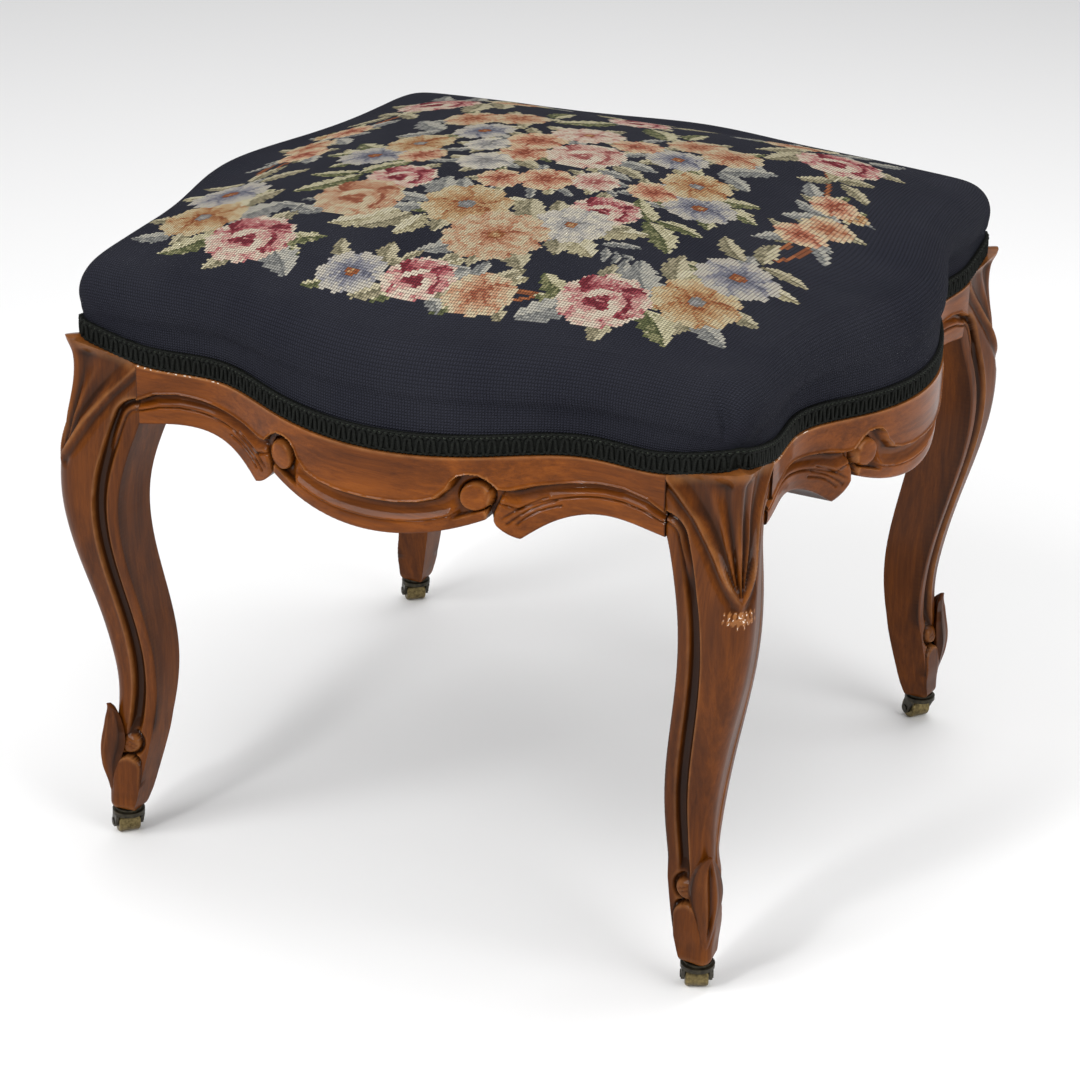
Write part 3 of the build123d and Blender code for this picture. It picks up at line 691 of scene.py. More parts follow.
def make_legs():
    points, outward, from_corner = leg_face()
    z = points[..., 2]
    depth = leg_carving(from_corner, points[..., 1], z)
    # Painted shade in the carving's recesses and painted highlights on its raised edges
    stain_and_shade, wear_and_highlight = relief_shade_and_highlight(depth)
    # Painted shade in the recesses is deepened round the toes, over the legs' darker tone
    stain_and_shade = np.minimum(stain_and_shade * (1 + TOE_SHADE_GAIN * smooth(*TOE_DARK, z)) + LEG_STAIN, 0.9)
    lip = smooth(0.975, 0.995, np.linspace(0, 1, LEG_ROWS))[:, None]
    wear_and_highlight = np.clip(wear_and_highlight + 0.4 * lip, 0, 0.75)
    points[..., :2] -= outward * depth[..., None]
    outer, inner = points[:, 0, 0], points[:, 0, 1]
    inside = [places(inner, outer + (inner - outer) * k, z[:, 0]) for k in (0.33, 0.66, 1.0)]
    inside += [line[:, (1, 0, 2)] for line in inside[1::-1]]
    loops = np.concatenate((points, points[:, -2::-1][..., (1, 0, 2)], np.stack(inside, axis=1)), axis=1)
    set_in = loops[-1].copy()
    set_in[:, :2] = within_seat(set_in[:, :2], TACK_SCALE)
    crown = set_in * (1, 1, 0) + (0, 0, RAIL_TOP)
    rings = np.concatenate((loops, [set_in, crown]))
    flat = rings.reshape(-1, 3)
    faces = tube_faces(*rings.shape[:2])

    def spread(values, plain):
        """A face's values over the whole leg: the face, its mirror image, the inner faces and the top."""
        whole = np.concatenate((values, values[:, -2::-1], np.full((LEG_ROWS, len(inside)), plain)), axis=1)
        return np.concatenate((whole, np.zeros((2, rings.shape[1])))).ravel()

    from_chip = np.hypot(from_corner / CHIP_WIDE, (z - CHIP_Z) / CHIP_HIGH)
    ragged = 0.35 * np.sin(2.1 * from_corner + 0.4 * z) + 0.25 * np.sin(1.3 * z)
    chip = np.where(from_chip < 0.85 + ragged, 0.95, 0.0)
    for quarter, corner in enumerate(CORNERS):
        piece = make_piece(f"carved_leg_{corner}", turned(flat, quarter), faces, WOOD)
        wear_and_highlight_values = spread(np.maximum(wear_and_highlight, chip) if corner == CHIPPED else wear_and_highlight, 0.0)
        set_wood(piece, spread(stain_and_shade, 0.3), wear_and_highlight_values, upright_grain(flat, quarter))
        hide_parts(f"leg_{corner}")


# Toe leaf: height, distance from the middle planes, half width and thickness along its length
TOE_LINE = ((26.0, 197.8, 1.5, 4.0), (32.0, 199.0, 2.6, 5.0), (40.0, 200.2, 4.0, 6.5),
            (48.0, 201.2, 5.6, 8.0), (56.0, 201.8, 7.6, 9.5), (62.0, 201.7, 9.2, 10.0),
            (68.0, 201.1, 9.8, 9.5), (75.0, 200.1, 8.8, 7.5), (81.0, 199.4, 6.8, 6.0),
            (86.0, 199.1, 4.3, 4.6), (89.5, 199.4, 1.9, 3.2), (90.8, 199.6, 0.8, 2.5))
TOE_ROWS = 60
TOE_COLUMNS = 33


def make_toes():
    z = np.linspace(TOE_LINE[0][0], TOE_LINE[-1][0], TOE_ROWS)
    out, half, thick = [on_line(spline([(p[0], p[k]) for p in TOE_LINE]), z) for k in (1, 2, 3)]
    half = np.maximum(half, 0.3)
    w = np.linspace(-1, 1, TOE_COLUMNS)
    ridges = 1.5 * bell(np.abs(w), 0.34, 0.14) - 1.2 * bell(w, 0.0, 0.13)
    grown = smooth(34.0, 50.0, z) * smooth(91.0, 80.0, z)
    depth = np.outer(grown, -ridges) + 0.62 * np.outer(half, np.abs(w) ** 1.9)
    # Painted shade in the toe leaf's recesses and painted highlights on its raised edges
    stain_and_shade, wear_and_highlight = relief_shade_and_highlight(depth, 2)
    diagonal = math.sqrt(2)
    front = out[:, None] * diagonal - depth
    back = front - 0.4 - thick[:, None] * (1 - 0.55 * np.abs(w) ** 3)
    side = np.outer(half, w)
    faced = [places((far + side) / diagonal, (far - side) / diagonal, z[:, None]) for far in (front, back)]
    loops = np.concatenate((faced[0], faced[1][:, ::-1]), axis=1)
    points = loops.reshape(-1, 3)
    faces = tube_faces(*loops.shape[:2])
    # The toe leaf's face gets the legs' darker tone; its back, against the leg, gets painted shade
    stain_and_shade_values = np.clip(np.concatenate((stain_and_shade + LEG_STAIN, np.full_like(stain_and_shade, 0.6)), axis=1), 0, 0.9).ravel()
    wear_and_highlight_values = np.concatenate((wear_and_highlight, np.zeros_like(wear_and_highlight)), axis=1).ravel()
    for quarter, corner in enumerate(CORNERS):
        piece = make_piece(f"toe_leaf_{corner}", turned(points, quarter), faces, WOOD)
        set_wood(piece, stain_and_shade_values, wear_and_highlight_values, upright_grain(points, quarter))


make_rails()
make_legs()
make_toes()

# Seat: a padded form on a grid of stitches, worked in a floral pattern

STITCH = 1.7
RINGS = 154
# Canvas distances from the middle: end of the even stitches and of the flat plan, the rim and the skirt
EVEN_TO = 120.0
FLAT_TO = 140.0
RIM_AT = 197.0
SKIRT_AT = 233.0
# Softness and least scale of the plan within the rim, and the rise from the rim inwards
TOP_SOFT = 1.5
LEAST_SCALE = 0.3
RIM_RISE = 0.5
# Small pleat by the front right corner: place and width in stitches from the mitre, and depth as a share
PLEAT_AT = -7
PLEAT_WIDE = 1.4
PLEAT_DEPTH = 0.009
# Canvas stretches in which the side's height takes over, and in which mitres and pleat begin and end
SIDE_FROM = (178.0, 206.0)
MITRE_FROM, MITRE_TO = (90.0, 140.0), (236.0, 226.0)
PLEAT_FROM, PLEAT_TO = (200.0, 218.0), (236.0, 224.0)
# How near the diagonal a mitre reaches, as shares, and over how many stitches it is eased
MITRE_NEAR = (0.62, 0.92)
MITRE_EASE = 9
# Height of the cushion's slight unevenness, and how far its hem turns in and up under the pad
UNEVEN = 0.5
HEM_IN = 0.97
HEM_LIFT = 4.0
# Canvas distance from the middle, height, scale of the plan and softness of each ring of the cushion's side
SEAT_RINGS = ((RIM_AT, RAIL_TOP + 34.5, 0.940, 1.4), (205.0, RAIL_TOP + 30.0, 0.972, 1.3),
              (211.0, RAIL_TOP + 24.0, 0.992, 1.1), (216.5, RAIL_TOP + 18.0, 1.003, 0.9),
              (222.8, RAIL_TOP + 10.5, 1.005, 0.6), (228.0, RAIL_TOP + 4.5, 0.998, 0.3),
              (SKIRT_AT, RAIL_TOP, 0.9857, 0.0))
# Height of the crown over the rails, by a rounded distance from the middle
CROWN = ((0.0, 65.0), (50.0, 63.4), (88.0, 59.4), (126.0, 53.6), (161.0, 46.4), (183.0, 40.0), (197.0, 35.0),
         (215.0, 28.0), (260.0, 10.0))
CROWN_POWER = 5.0
CROWN_CURVE = spline([(-a, h) for a, h in CROWN[:0:-1]] + list(CROWN))


def half_side(scale, soft):
    """Half a side of the seat's outline, from its middle to the corner, and the run along it."""
    face = (FACE_Y + SOFT_FACE * soft) * scale
    curve = side_curve(scale, soft)[3 * SIDE_STEPS:]
    rounding = (CORNER_R + SOFT_CORNER * soft) * scale
    turn = np.linspace(math.pi / 2, math.pi / 4, 14)
    corner = np.c_[face - rounding + rounding * np.cos(turn), face - rounding + rounding * np.sin(turn)]
    line = np.vstack((curve, corner))
    return line, run_along(line)


def ring_points(canvas, lateral):
    """Places of one ring of canvas points, half a side of it, from the middle to the corner."""
    table = np.array(SEAT_RINGS)
    height, scale, soft = [np.interp(canvas, table[:, 0], table[:, k]) for k in (1, 2, 3)]
    if canvas <= RIM_AT:
        height, scale, soft = height + (RIM_AT - canvas) * RIM_RISE, canvas / FACE_Y, TOP_SOFT
    line, run = half_side(max(scale, LEAST_SCALE), soft)
    rest = run[-1] - EVEN_TO
    t = np.clip((lateral - EVEN_TO) / max(canvas - EVEN_TO, 1.0), 0, 1)
    ease = np.clip((canvas - EVEN_TO) / max(rest, 1.0), 0.0, 1.6)
    along = np.where(lateral <= EVEN_TO, lateral, EVEN_TO + rest * (ease * t + (1 - ease) * t**2))
    x, y = at_run(line, run, along).T
    share = smooth(FLAT_TO, RIM_AT, canvas)
    x = lateral + (x - lateral) * share
    y = canvas + (y - canvas) * share
    far = (np.abs(x) ** CROWN_POWER + np.abs(y) ** CROWN_POWER) ** (1 / CROWN_POWER)
    crown = RAIL_TOP + on_line(CROWN_CURVE, far)
    z = crown + (height - crown) * smooth(*SIDE_FROM, canvas)
    if canvas > SKIRT_AT:
        share = (canvas - SKIRT_AT) / (RINGS * STITCH - SKIRT_AT)
        z = RAIL_TOP + (gimp_height(x) + FIT - RAIL_TOP) * share
    return x, y, z


def seat_points():
    """The cushion's points on the square grid of canvas points."""
    size = 2 * RINGS + 1
    points = np.zeros((size, size, 3))
    points[RINGS, RINGS] = (0, 0, RAIL_TOP + CROWN[0][1])
    for ring in range(1, RINGS + 1):
        steps = np.arange(ring + 1)
        x, y, z = ring_points(ring * STITCH, steps * STITCH)
        for sign in (1, -1):
            for side in (1, -1):
                points[RINGS + sign * steps, RINGS + side * ring] = places(sign * x, side * y, z)
                points[RINGS + side * ring, RINGS + sign * steps] = places(side * y, sign * x, z)
    return points


# Wools of the pattern, from dark to light
WOOLS = {
    "rose": ((116, 34, 44), (150, 62, 70), (182, 106, 106), (202, 146, 138), (214, 182, 164),
             (220, 204, 182)),
    "blush": ((158, 88, 82), (190, 132, 120), (206, 164, 148), (214, 188, 168), (220, 206, 184)),
    "coral": ((140, 68, 46), (172, 102, 76), (196, 138, 108), (208, 168, 136), (216, 192, 156)),
    "peach": ((150, 82, 54), (178, 118, 86), (194, 146, 112), (202, 168, 134), (208, 190, 156)),
    "yellow": ((144, 80, 42), (170, 116, 74), (186, 146, 102), (198, 168, 126), (206, 188, 150)),
    "blue": ((98, 99, 112), (124, 124, 135), (150, 148, 152), (174, 170, 165), (194, 187, 173)),
    "white": ((128, 126, 122), (156, 153, 150), (180, 176, 168), (200, 193, 180), (214, 206, 186)),
    "green": ((72, 78, 46), (94, 98, 62), (138, 136, 96), (188, 180, 144), (208, 200, 164)),
    "grey": ((106, 107, 104), (130, 130, 126), (152, 151, 144), (170, 168, 158), (188, 184, 170)),
    "tan": ((114, 108, 82), (140, 132, 104), (164, 154, 124), (186, 176, 144), (202, 192, 160)),
    "cream": ((140, 130, 98), (170, 160, 126), (192, 182, 146), (206, 197, 164), (214, 206, 176)),
    "stem": ((132, 76, 44), (164, 98, 58)),
}
NAVY = (35, 36, 47)
# Spread of the flecks in the wools, and the seed that draws them
FLECK = 0.09
SEED = 11
# Middle of the pattern, about which the pairs are mirrored
MIRROR_AT = -9.0

# Flowers on the right and, mirrored, on the left: kind, wool, place and radius
PAIRED_FLOWERS = (
    ("open", "yellow", 147, -133, 25), ("daisy", "blue", 154, -91, 24), ("rose", "rose", 102, -156, 26),
    ("rose", "rose", 57, -56, 21), ("daisy", "blue", 98, -14, 22), ("open", "coral", 67, -11, 15),
    ("open", "yellow", 83, 17, 21), ("daisy", "blue", 56, 51, 19), ("open", "peach", 52, 92, 19),
    ("open", "peach", 79, 82, 19), ("open", "coral", 156, 0, 16), ("open", "yellow", 169, 55, 9),
    ("open", "coral", 155, 58, 15), ("open", "peach", 164, 24, 16), ("rose", "rose", 130, 134, 27),
    ("open", "peach", 88, 170, 21),
)
SINGLE_FLOWERS = (
    ("open", "yellow", -20, -80, 26), ("double", "white", 48, -83, 24), ("double", "peach", 14, -111, 31),
    ("rose", "peach", -84, -92, 26), ("open", "coral", -32, 38, 19), ("open", "coral", -27, 11, 16),
    ("double", "blush", -12, 71, 23), ("open", "white", -42, -13, 17), ("open", "white", -57, 21, 14),
    ("open", "coral", 25, 62, 16), ("open", "blush", 32, -17, 15), ("open", "coral", -19, -38, 14),
    ("open", "coral", 5, -27, 17), ("rose", "blush", 8, 24, 24), ("daisy", "blue", -45, -173, 20),
    ("open", "peach", 35, -173, 20), ("rose", "rose", -5, -169, 21), ("rose", "rose", -12, 150, 20),
)
# Leaves: wool, foot, tip and width as a share of their length
PAIRED_LEAVES = (
    ("tan", 148, -68, 126, -43, 0.46), ("tan", 157, -62, 153, -27, 0.42), ("tan", 158, -66, 187, -66, 0.46),
    ("tan", 131, -121, 119, -87, 0.52), ("cream", 131, -121, 139, -97, 0.62),
    ("grey", 124, -143, 102, -107, 0.6), ("grey", 152, -153, 177, -164, 0.6),
    ("green", 126, -157, 149, -181, 0.66), ("green", 88, -162, 59, -143, 0.5),
    ("grey", 87, -162, 62, -187, 0.66), ("green", 86, -55, 65, -26, 0.5),
    ("green", 87, -52, 118, -57, 0.46), ("green", 83, -57, 111, -91, 0.46), ("green", 99, 2, 124, 17, 0.55),
    ("green", 106, -4, 133, -11, 0.55), ("grey", 84, 50, 112, 75, 0.5), ("grey", 84, 49, 109, 34, 0.5),
    ("grey", 150, -4, 137, -29, 0.45), ("grey", 165, -6, 182, -27, 0.4), ("grey", 157, 40, 134, 48, 0.55),
    ("grey", 154, 36, 136, 19, 0.6), ("grey", 146, 58, 130, 81, 0.5), ("tan", 141, 99, 161, 113, 0.55),
    ("tan", 145, 96, 168, 79, 0.46), ("tan", 139, 98, 121, 81, 0.5), ("tan", 103, 142, 94, 99, 0.5),
    ("tan", 96, 152, 79, 120, 0.46), ("grey", 140, 163, 153, 190, 0.55), ("grey", 118, 166, 130, 198, 0.5),
    ("cream", 110, 164, 104, 196, 0.5), ("green", 2, 131, 30, 95, 0.5), ("green", 37, 110, 37, 143, 0.46),
    ("tan", 52, 176, 70, 188, 0.5), ("grey", 70, 168, 46, 160, 0.5), ("tan", 8, 158, 34, 176, 0.5),
)
SINGLE_LEAVES = (
    ("tan", 27, -88, 11, -57, 0.62), ("tan", 36, -74, 28, -56, 0.6), ("cream", 60, -93, 93, -75, 0.56),
    ("tan", 64, -90, 80, -70, 0.5), ("cream", 42, -97, 77, -117, 0.6), ("tan", 44, -98, 56, -122, 0.6),
    ("grey", 74, -100, 97, -94, 0.34), ("grey", 78, -102, 84, -119, 0.36),
    ("grey", 86, -104, 90, -119, 0.36), ("grey", 90, -106, 100, -111, 0.4),
    ("grey", 94, -110, 97, -129, 0.36), ("grey", -34, -82, -48, -47, 0.55),
    ("grey", -42, -84, -67, -80, 0.55), ("grey", -42, -92, -64, -99, 0.6),
    ("cream", -52, -101, -84, -129, 0.55), ("tan", -44, -102, -66, -127, 0.55),
    ("cream", -36, -101, -42, -129, 0.6), ("tan", -28, -98, -22, -119, 0.62),
    ("grey", -128, -112, -97, -120, 0.3), ("grey", -116, -104, -98, -101, 0.32),
    ("grey", -112, -110, -114, -123, 0.4), ("tan", 4, -137, -2, -151, 0.6),
    ("tan", 13, -137, 16, -150, 0.6), ("tan", -30, -160, -37, -138, 0.6),
    ("tan", -22, -158, -16, -142, 0.5), ("grey", 0, -160, 20, -153, 0.5), ("grey", 9, -165, 25, -162, 0.5),
    ("grey", 27, -161, 25, -141, 0.55), ("tan", 39, -160, 49, -143, 0.6),
    ("tan", -18, -180, -37, -194, 0.62), ("grey", 6, -183, 21, -195, 0.5),
    ("tan", -56, -162, -67, -142, 0.5), ("grey", 28, 22, 56, 20, 0.5), ("tan", 30, 14, 54, 3, 0.5),
    ("grey", 27, 33, 41, 50, 0.46), ("grey", 26, 2, 49, -3, 0.46), ("grey", -46, 32, -62, 47, 0.5),
    ("tan", -38, 54, -51, 69, 0.5), ("grey", -54, -14, -72, -22, 0.4), ("tan", -30, -4, -6, -14, 0.5),
    ("grey", 2, -42, 9, -59, 0.36), ("grey", 16, -36, 31, -47, 0.36), ("grey", -16, -48, -20, -60, 0.4),
    ("grey", 42, -24, 53, -33, 0.4), ("grey", 22, 76, 29, 97, 0.46), ("grey", -60, 10, -78, 4, 0.5),
    ("grey", 14, 46, 24, 54, 0.5), ("tan", 10, -6, 24, -12, 0.5),
)
PAIRED_STEMS = (
    ((156, -12), (157, -24), (156, -34)), ((167, -12), (166, -32), (161, -50)),
    ((131, 108), (138, 92), (146, 68)),
)
SINGLE_STEMS = (((67, -165), (58, -164), (51, -166)), ((64, -168), (58, -172), (51, -174)))

# Small leaves that show round each flower: how many, their wools in turn, the places of their foot and tip
# in flower radii, and their width as a share of their length
SPRIGS = 4
SPRIG_WOOLS = ("tan", "grey", "green", "tan", "cream")
SPRIG_FOOT, SPRIG_TIP, SPRIG_WIDE = 0.55, 1.5, 0.6


def worked_pattern(x, y):
    """The wool of each stitch, as a colour of 0 to 255, from the stitch's place on the seat."""
    draw = np.random.default_rng(SEED)
    fleck = draw.normal(0, FLECK, x.shape)
    colours = np.empty(x.shape + (3,))
    colours[:] = NAVY

    def lay(mask, wool, tone):
        shades = np.array(WOOLS[wool], float)
        index = np.clip(((tone + fleck) * len(shades)).astype(int), 0, len(shades) - 1)
        colours[mask] = shades[index][mask]

    def leaf(wool, x0, y0, x1, y1, width):
        length = math.hypot(x1 - x0, y1 - y0)
        cosine, sine = (x1 - x0) / length, (y1 - y0) / length
        along = ((x - x0) * cosine + (y - y0) * sine) / length
        bend = 0.07 * length * np.sin(math.pi * np.clip(along, 0, 1))
        across = -(x - x0) * sine + (y - y0) * cosine - bend
        half = 0.5 * width * length * np.clip(np.sin(math.pi * np.clip(along, 0, 1) ** 0.85), 0, 1) ** 0.7
        half = half * (0.88 + 0.12 * np.cos(along * length * 0.9))
        mask = (along > 0) & (along < 1) & (np.abs(across) < half)
        light_side = (across > 0) == (cosine > 0)
        tone = np.where(light_side, 0.80, 0.34) + 0.16 * along
        tone = tone - 0.14 * (np.sin(along * 22 + np.abs(across) * 0.5) > 0.55)
        tone = tone - 0.4 * (np.abs(across) < 0.8)
        lay(mask, wool, np.clip(tone, 0, 0.999))

    def stem(points):
        near = np.full(x.shape, 1e9)
        for px, py in dense(spline(points, 8), 1.0):
            near = np.minimum(near, np.hypot(x - px, y - py))
        lay(near < 1.7, "stem", np.where(near < 0.9, 0.8, 0.3))

    def petal(wool, cx, cy, turn, reach, length, width, base, tip):
        dx, dy = x - cx, y - cy
        along = (dx * math.cos(turn) + dy * math.sin(turn) - reach) / length
        across = (-dx * math.sin(turn) + dy * math.cos(turn)) / width
        far = np.hypot(along, across)
        edge = 1.0 - 0.12 * np.cos(across * 5.0) * (along > 0.5)
        tone = base + (tip - base) * np.clip(0.5 + 0.55 * along, 0, 1) + 0.07 * np.sin(across * 9.0)
        tone = tone - 0.34 * (across > 0.66) - 0.10 * (far > 0.88)
        lay(far < edge, wool, np.clip(tone, 0, 0.999))

    def ring(wool, cx, cy, r, count, phase, base, tip, slim=1.0):
        for k in range(count):
            turn = phase + 2 * math.pi * k / count
            width = slim * 0.62 * r * math.sin(math.pi / count) * 1.55
            petal(wool, cx, cy, turn, 0.56 * r, 0.46 * r, width, base, tip)

    def heart(wool, cx, cy, r, tone):
        far = np.hypot(x - cx, y - cy) / r
        lay(far < 1, wool, tone + 0.25 * (far < 0.45))

    def open_flower(wool, cx, cy, r):
        phase = (cx * 0.31 + cy * 0.17) % 2.0
        ring(wool, cx, cy, r, 5, phase, 0.24, 1.0)
        heart("white" if wool == "yellow" else wool, cx, cy, 0.20 * r, 0.10)

    def daisy(wool, cx, cy, r):
        ring(wool, cx, cy, r, 6, 0.3, 0.16, 1.12)
        heart("yellow", cx, cy, 0.20 * r, 0.04)

    def double_flower(wool, cx, cy, r):
        ring(wool, cx, cy, r, 8, 0.4, 0.18, 0.92)
        ring(wool, cx, cy, 0.66 * r, 6, 1.0, 0.22, 1.02)
        heart("yellow", cx, cy, 0.16 * r, 0.2)

    def rose(wool, cx, cy, r):
        ring(wool, cx, cy, r, 6, 0.5, 0.26, 0.96, 1.1)
        petal(wool, cx - 0.18 * r, cy + 0.50 * r, math.pi / 2, 0.0, 0.36 * r, 0.62 * r, 0.1, 0.66)
        petal(wool, cx + 0.52 * r, cy + 0.10 * r, 0.2, 0.0, 0.34 * r, 0.62 * r, 0.1, 0.72)
        bowl = np.hypot((x - cx) / (0.64 * r), (y - cy + 0.10 * r) / (0.58 * r))
        around = np.arctan2(y - cy + 0.1 * r, x - cx)
        shaded = (bowl > 0.84) & (np.sin(around + 0.5) > -0.2)
        tone = 0.78 + 0.2 * np.sin(2.0 * around + bowl * 5.0) - 0.5 * shaded
        lay(bowl < 1, wool, np.clip(tone, 0.05, 0.999))
        across, high = (x - cx + 0.08 * r) / (0.30 * r), (y - cy + 0.14 * r) / (0.24 * r)
        heart_shape = np.hypot(across, high) + 0.22 * np.sin(3.0 * np.arctan2(high, across) + 0.9)
        lay(heart_shape < 1, wool, 0.05 + 0.16 * (heart_shape > 0.62))
        lay(np.hypot(across - 0.1, 1.8 * high - 0.5) < 0.34, wool, np.full(x.shape, 0.4))

    def sprigs(index, cx, cy, r, side):
        for k in range(SPRIGS):
            turn = 1.7 * index + 2 * math.pi * k / SPRIGS
            dx, dy = side * r * math.cos(turn), r * math.sin(turn)
            wool = SPRIG_WOOLS[(index + k) % len(SPRIG_WOOLS)]
            foot, tip = [(cx + reach * dx, cy + reach * dy) for reach in (SPRIG_FOOT, SPRIG_TIP)]
            leaf(wool, *foot, *tip, SPRIG_WIDE)

    def mirrored(place):
        return 2 * MIRROR_AT - place

    makers = {"open": open_flower, "daisy": daisy, "double": double_flower, "rose": rose}
    for points in PAIRED_STEMS:
        stem(points)
        stem([(mirrored(px), py) for px, py in points])
    for points in SINGLE_STEMS:
        stem(points)
    for index, (_, _, cx, cy, r) in enumerate(PAIRED_FLOWERS + SINGLE_FLOWERS):
        sprigs(index, cx, cy, r, 1)
        if index < len(PAIRED_FLOWERS):
            sprigs(index, mirrored(cx), cy, r, -1)
    for wool, x0, y0, x1, y1, width in PAIRED_LEAVES:
        leaf(wool, x0, y0, x1, y1, width)
        leaf(wool, mirrored(x0), y0, mirrored(x1), y1, width)
    for values in SINGLE_LEAVES:
        leaf(*values)
    for kind, wool, cx, cy, r in PAIRED_FLOWERS:
        makers[kind](wool, cx, cy, r)
        makers[kind](wool, mirrored(cx), cy, r)
    for kind, wool, cx, cy, r in SINGLE_FLOWERS:
        makers[kind](wool, cx, cy, r)
    return colours


def needlework():
    """Wool in slanted stitches, one colour to a stitch, with painted shade between the stitches and painted
    highlights on their crowns.
    """
    made, tree, shader = new_material("needlework", Roughness=0.95, Specular_IOR_Level=0.05)
    wool = attribute(tree, "wool").outputs["Color"]
    canvas = add_node(tree, "ShaderNodeUVMap", uv_map="canvas").outputs["UV"]
    parts = add_node(tree, "ShaderNodeSeparateXYZ", {0: canvas})
    u = calc(tree, "FRACT", parts.outputs["X"])
    v = calc(tree, "FRACT", parts.outputs["Y"])
    slant = calc(tree, "ABSOLUTE", calc(tree, "SUBTRACT", u, v))
    edge = calc(tree, "MULTIPLY", calc(tree, "SINE", calc(tree, "MULTIPLY", u, math.pi)),
                calc(tree, "SINE", calc(tree, "MULTIPLY", v, math.pi)))
    height = calc(tree, "MULTIPLY", calc(tree, "SUBTRACT", 1.0, slant), calc(tree, "POWER", edge, 0.4))
    # Painted shade in the hollows between stitches and painted highlights on their crowns, by each stitch's
    # height
    shade = ramp(tree, height, ((0.05, (0.20, 0.20, 0.22, 1)), (0.55, (1.0, 1.0, 1.0, 1)),
                                (0.95, (1.12, 1.12, 1.12, 1))))
    colour = mixed(tree, 0.9, wool, shade, "MULTIPLY")
    dust = noise(tree, stretched(tree, canvas, (0.02, 0.02, 0.02)), 1.0, 4.0)
    pale = calc(tree, "MULTIPLY", dust, 0.06)
    colour = mixed(tree, pale, colour, linear(170, 172, 180))
    paint(tree, shader, colour)
    bump(tree, height, shader, 1.0, 0.0012)
    return made


def seat_form():
    """The cushion's grid of points with its mitres eased, its pleat and its slight unevenness."""
    grid = seat_points()
    steps = np.abs(np.arange(len(grid)) - RINGS)
    across, along = np.meshgrid(steps, steps, indexing="ij")
    ring = np.maximum(across, along)
    canvas = ring * STITCH
    mitre = smooth(*MITRE_NEAR, np.minimum(across, along) / np.maximum(ring, 1))
    mitre = mitre * smooth(*MITRE_FROM, canvas) * smooth(*MITRE_TO, canvas)
    for axis in range(3):
        grid[..., axis] += (blurred(grid[..., axis], MITRE_EASE) - grid[..., axis]) * mitre
    sunk = bell(across - along, PLEAT_AT, PLEAT_WIDE)
    sunk = sunk * smooth(*PLEAT_FROM, canvas) * smooth(*PLEAT_TO, canvas)
    sunk[:RINGS] = 0
    sunk[:, RINGS:] = 0
    grid[..., :2] *= 1 - PLEAT_DEPTH * sunk[..., None]
    x, y, z = grid[..., 0], grid[..., 1], grid[..., 2]
    wave = np.sin(x / 37 + 1.0) * np.sin(y / 29 + 0.4) + np.sin(y / 53 - x / 61)
    grid[..., 2] += UNEVEN * wave * smooth(RAIL_TOP + 2.0, RAIL_TOP + 30.0, z)
    return grid


def colour_stitches(seat, grid, stitches):
    """Gives each stitch its wool and its place on the canvas; faces past the stitches are navy."""
    centres = (grid[:-1, :-1] + grid[1:, :-1] + grid[:-1, 1:] + grid[1:, 1:]) / 4
    worked = worked_pattern(centres[..., 0], centres[..., 1]).reshape(-1, 3)
    shades, index = np.unique(worked, axis=0, return_inverse=True)
    per_face = np.ones((len(seat.data.polygons), 4))
    per_face[:, :3] = linear(*NAVY)[:3]
    per_face[:stitches, :3] = np.array([linear(*shade)[:3] for shade in shades])[index.ravel()]
    counts = [len(face.vertices) for face in seat.data.polygons]
    wool = seat.data.attributes.new("wool", "FLOAT_COLOR", "CORNER")
    wool.data.foreach_set("color", np.repeat(per_face, counts, axis=0).astype(np.float32).ravel())
    size = len(grid)
    place = np.zeros((len(seat.data.vertices), 2))
    place[:size * size] = np.stack(np.divmod(np.arange(size * size), size), axis=-1)
    loop_points = np.empty(len(seat.data.loops), np.int32)
    seat.data.loops.foreach_get("vertex_index", loop_points)
    layer = seat.data.uv_layers.new(name="canvas")
    layer.data.foreach_set("uv", place[loop_points].astype(np.float32).ravel())


def make_seat():
    grid = seat_form()
    size = len(grid)
    points = grid.reshape(-1, 3)
    faces = grid_faces(size, size)
    stitches = len(faces)
    base = len(points)
    span = np.arange(size - 1)
    hem = np.concatenate((span, size - 1 + span * size, base - 1 - span, base - size - span * size)).tolist()
    inner = points[hem] * (1 - COVER_T / FACE_Y, 1 - COVER_T / FACE_Y, 1)
    lifted = inner * (HEM_IN, HEM_IN, 0) + (0, 0, RAIL_TOP + HEM_LIFT)
    count = len(hem)
    for k in range(count):
        n = (k + 1) % count
        faces.append((hem[k], hem[n], base + n, base + k))
        faces.append((base + k, base + n, base + count + n, base + count + k))
    faces.append(tuple(range(base + count, base + 2 * count)))
    points = np.concatenate((points, inner, lifted))
    seat = make_piece("needlepoint_seat", points, faces, needlework(), sharp=75.0)
    colour_stitches(seat, grid, stitches)
    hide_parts("needlepoint_cover", "stuffing_pad")


# Gimp braid: a band with looped cords, following the seat's edge

GIMP_IN = 0.98711
GIMP_PITCH = 6.6
GIMP_STEP = 0.45
CORD_SIDES = 7
BRAID_SHADES = ((0.3, (9, 10, 9)), (0.55, (19, 21, 18)), (0.75, (38, 40, 34)))


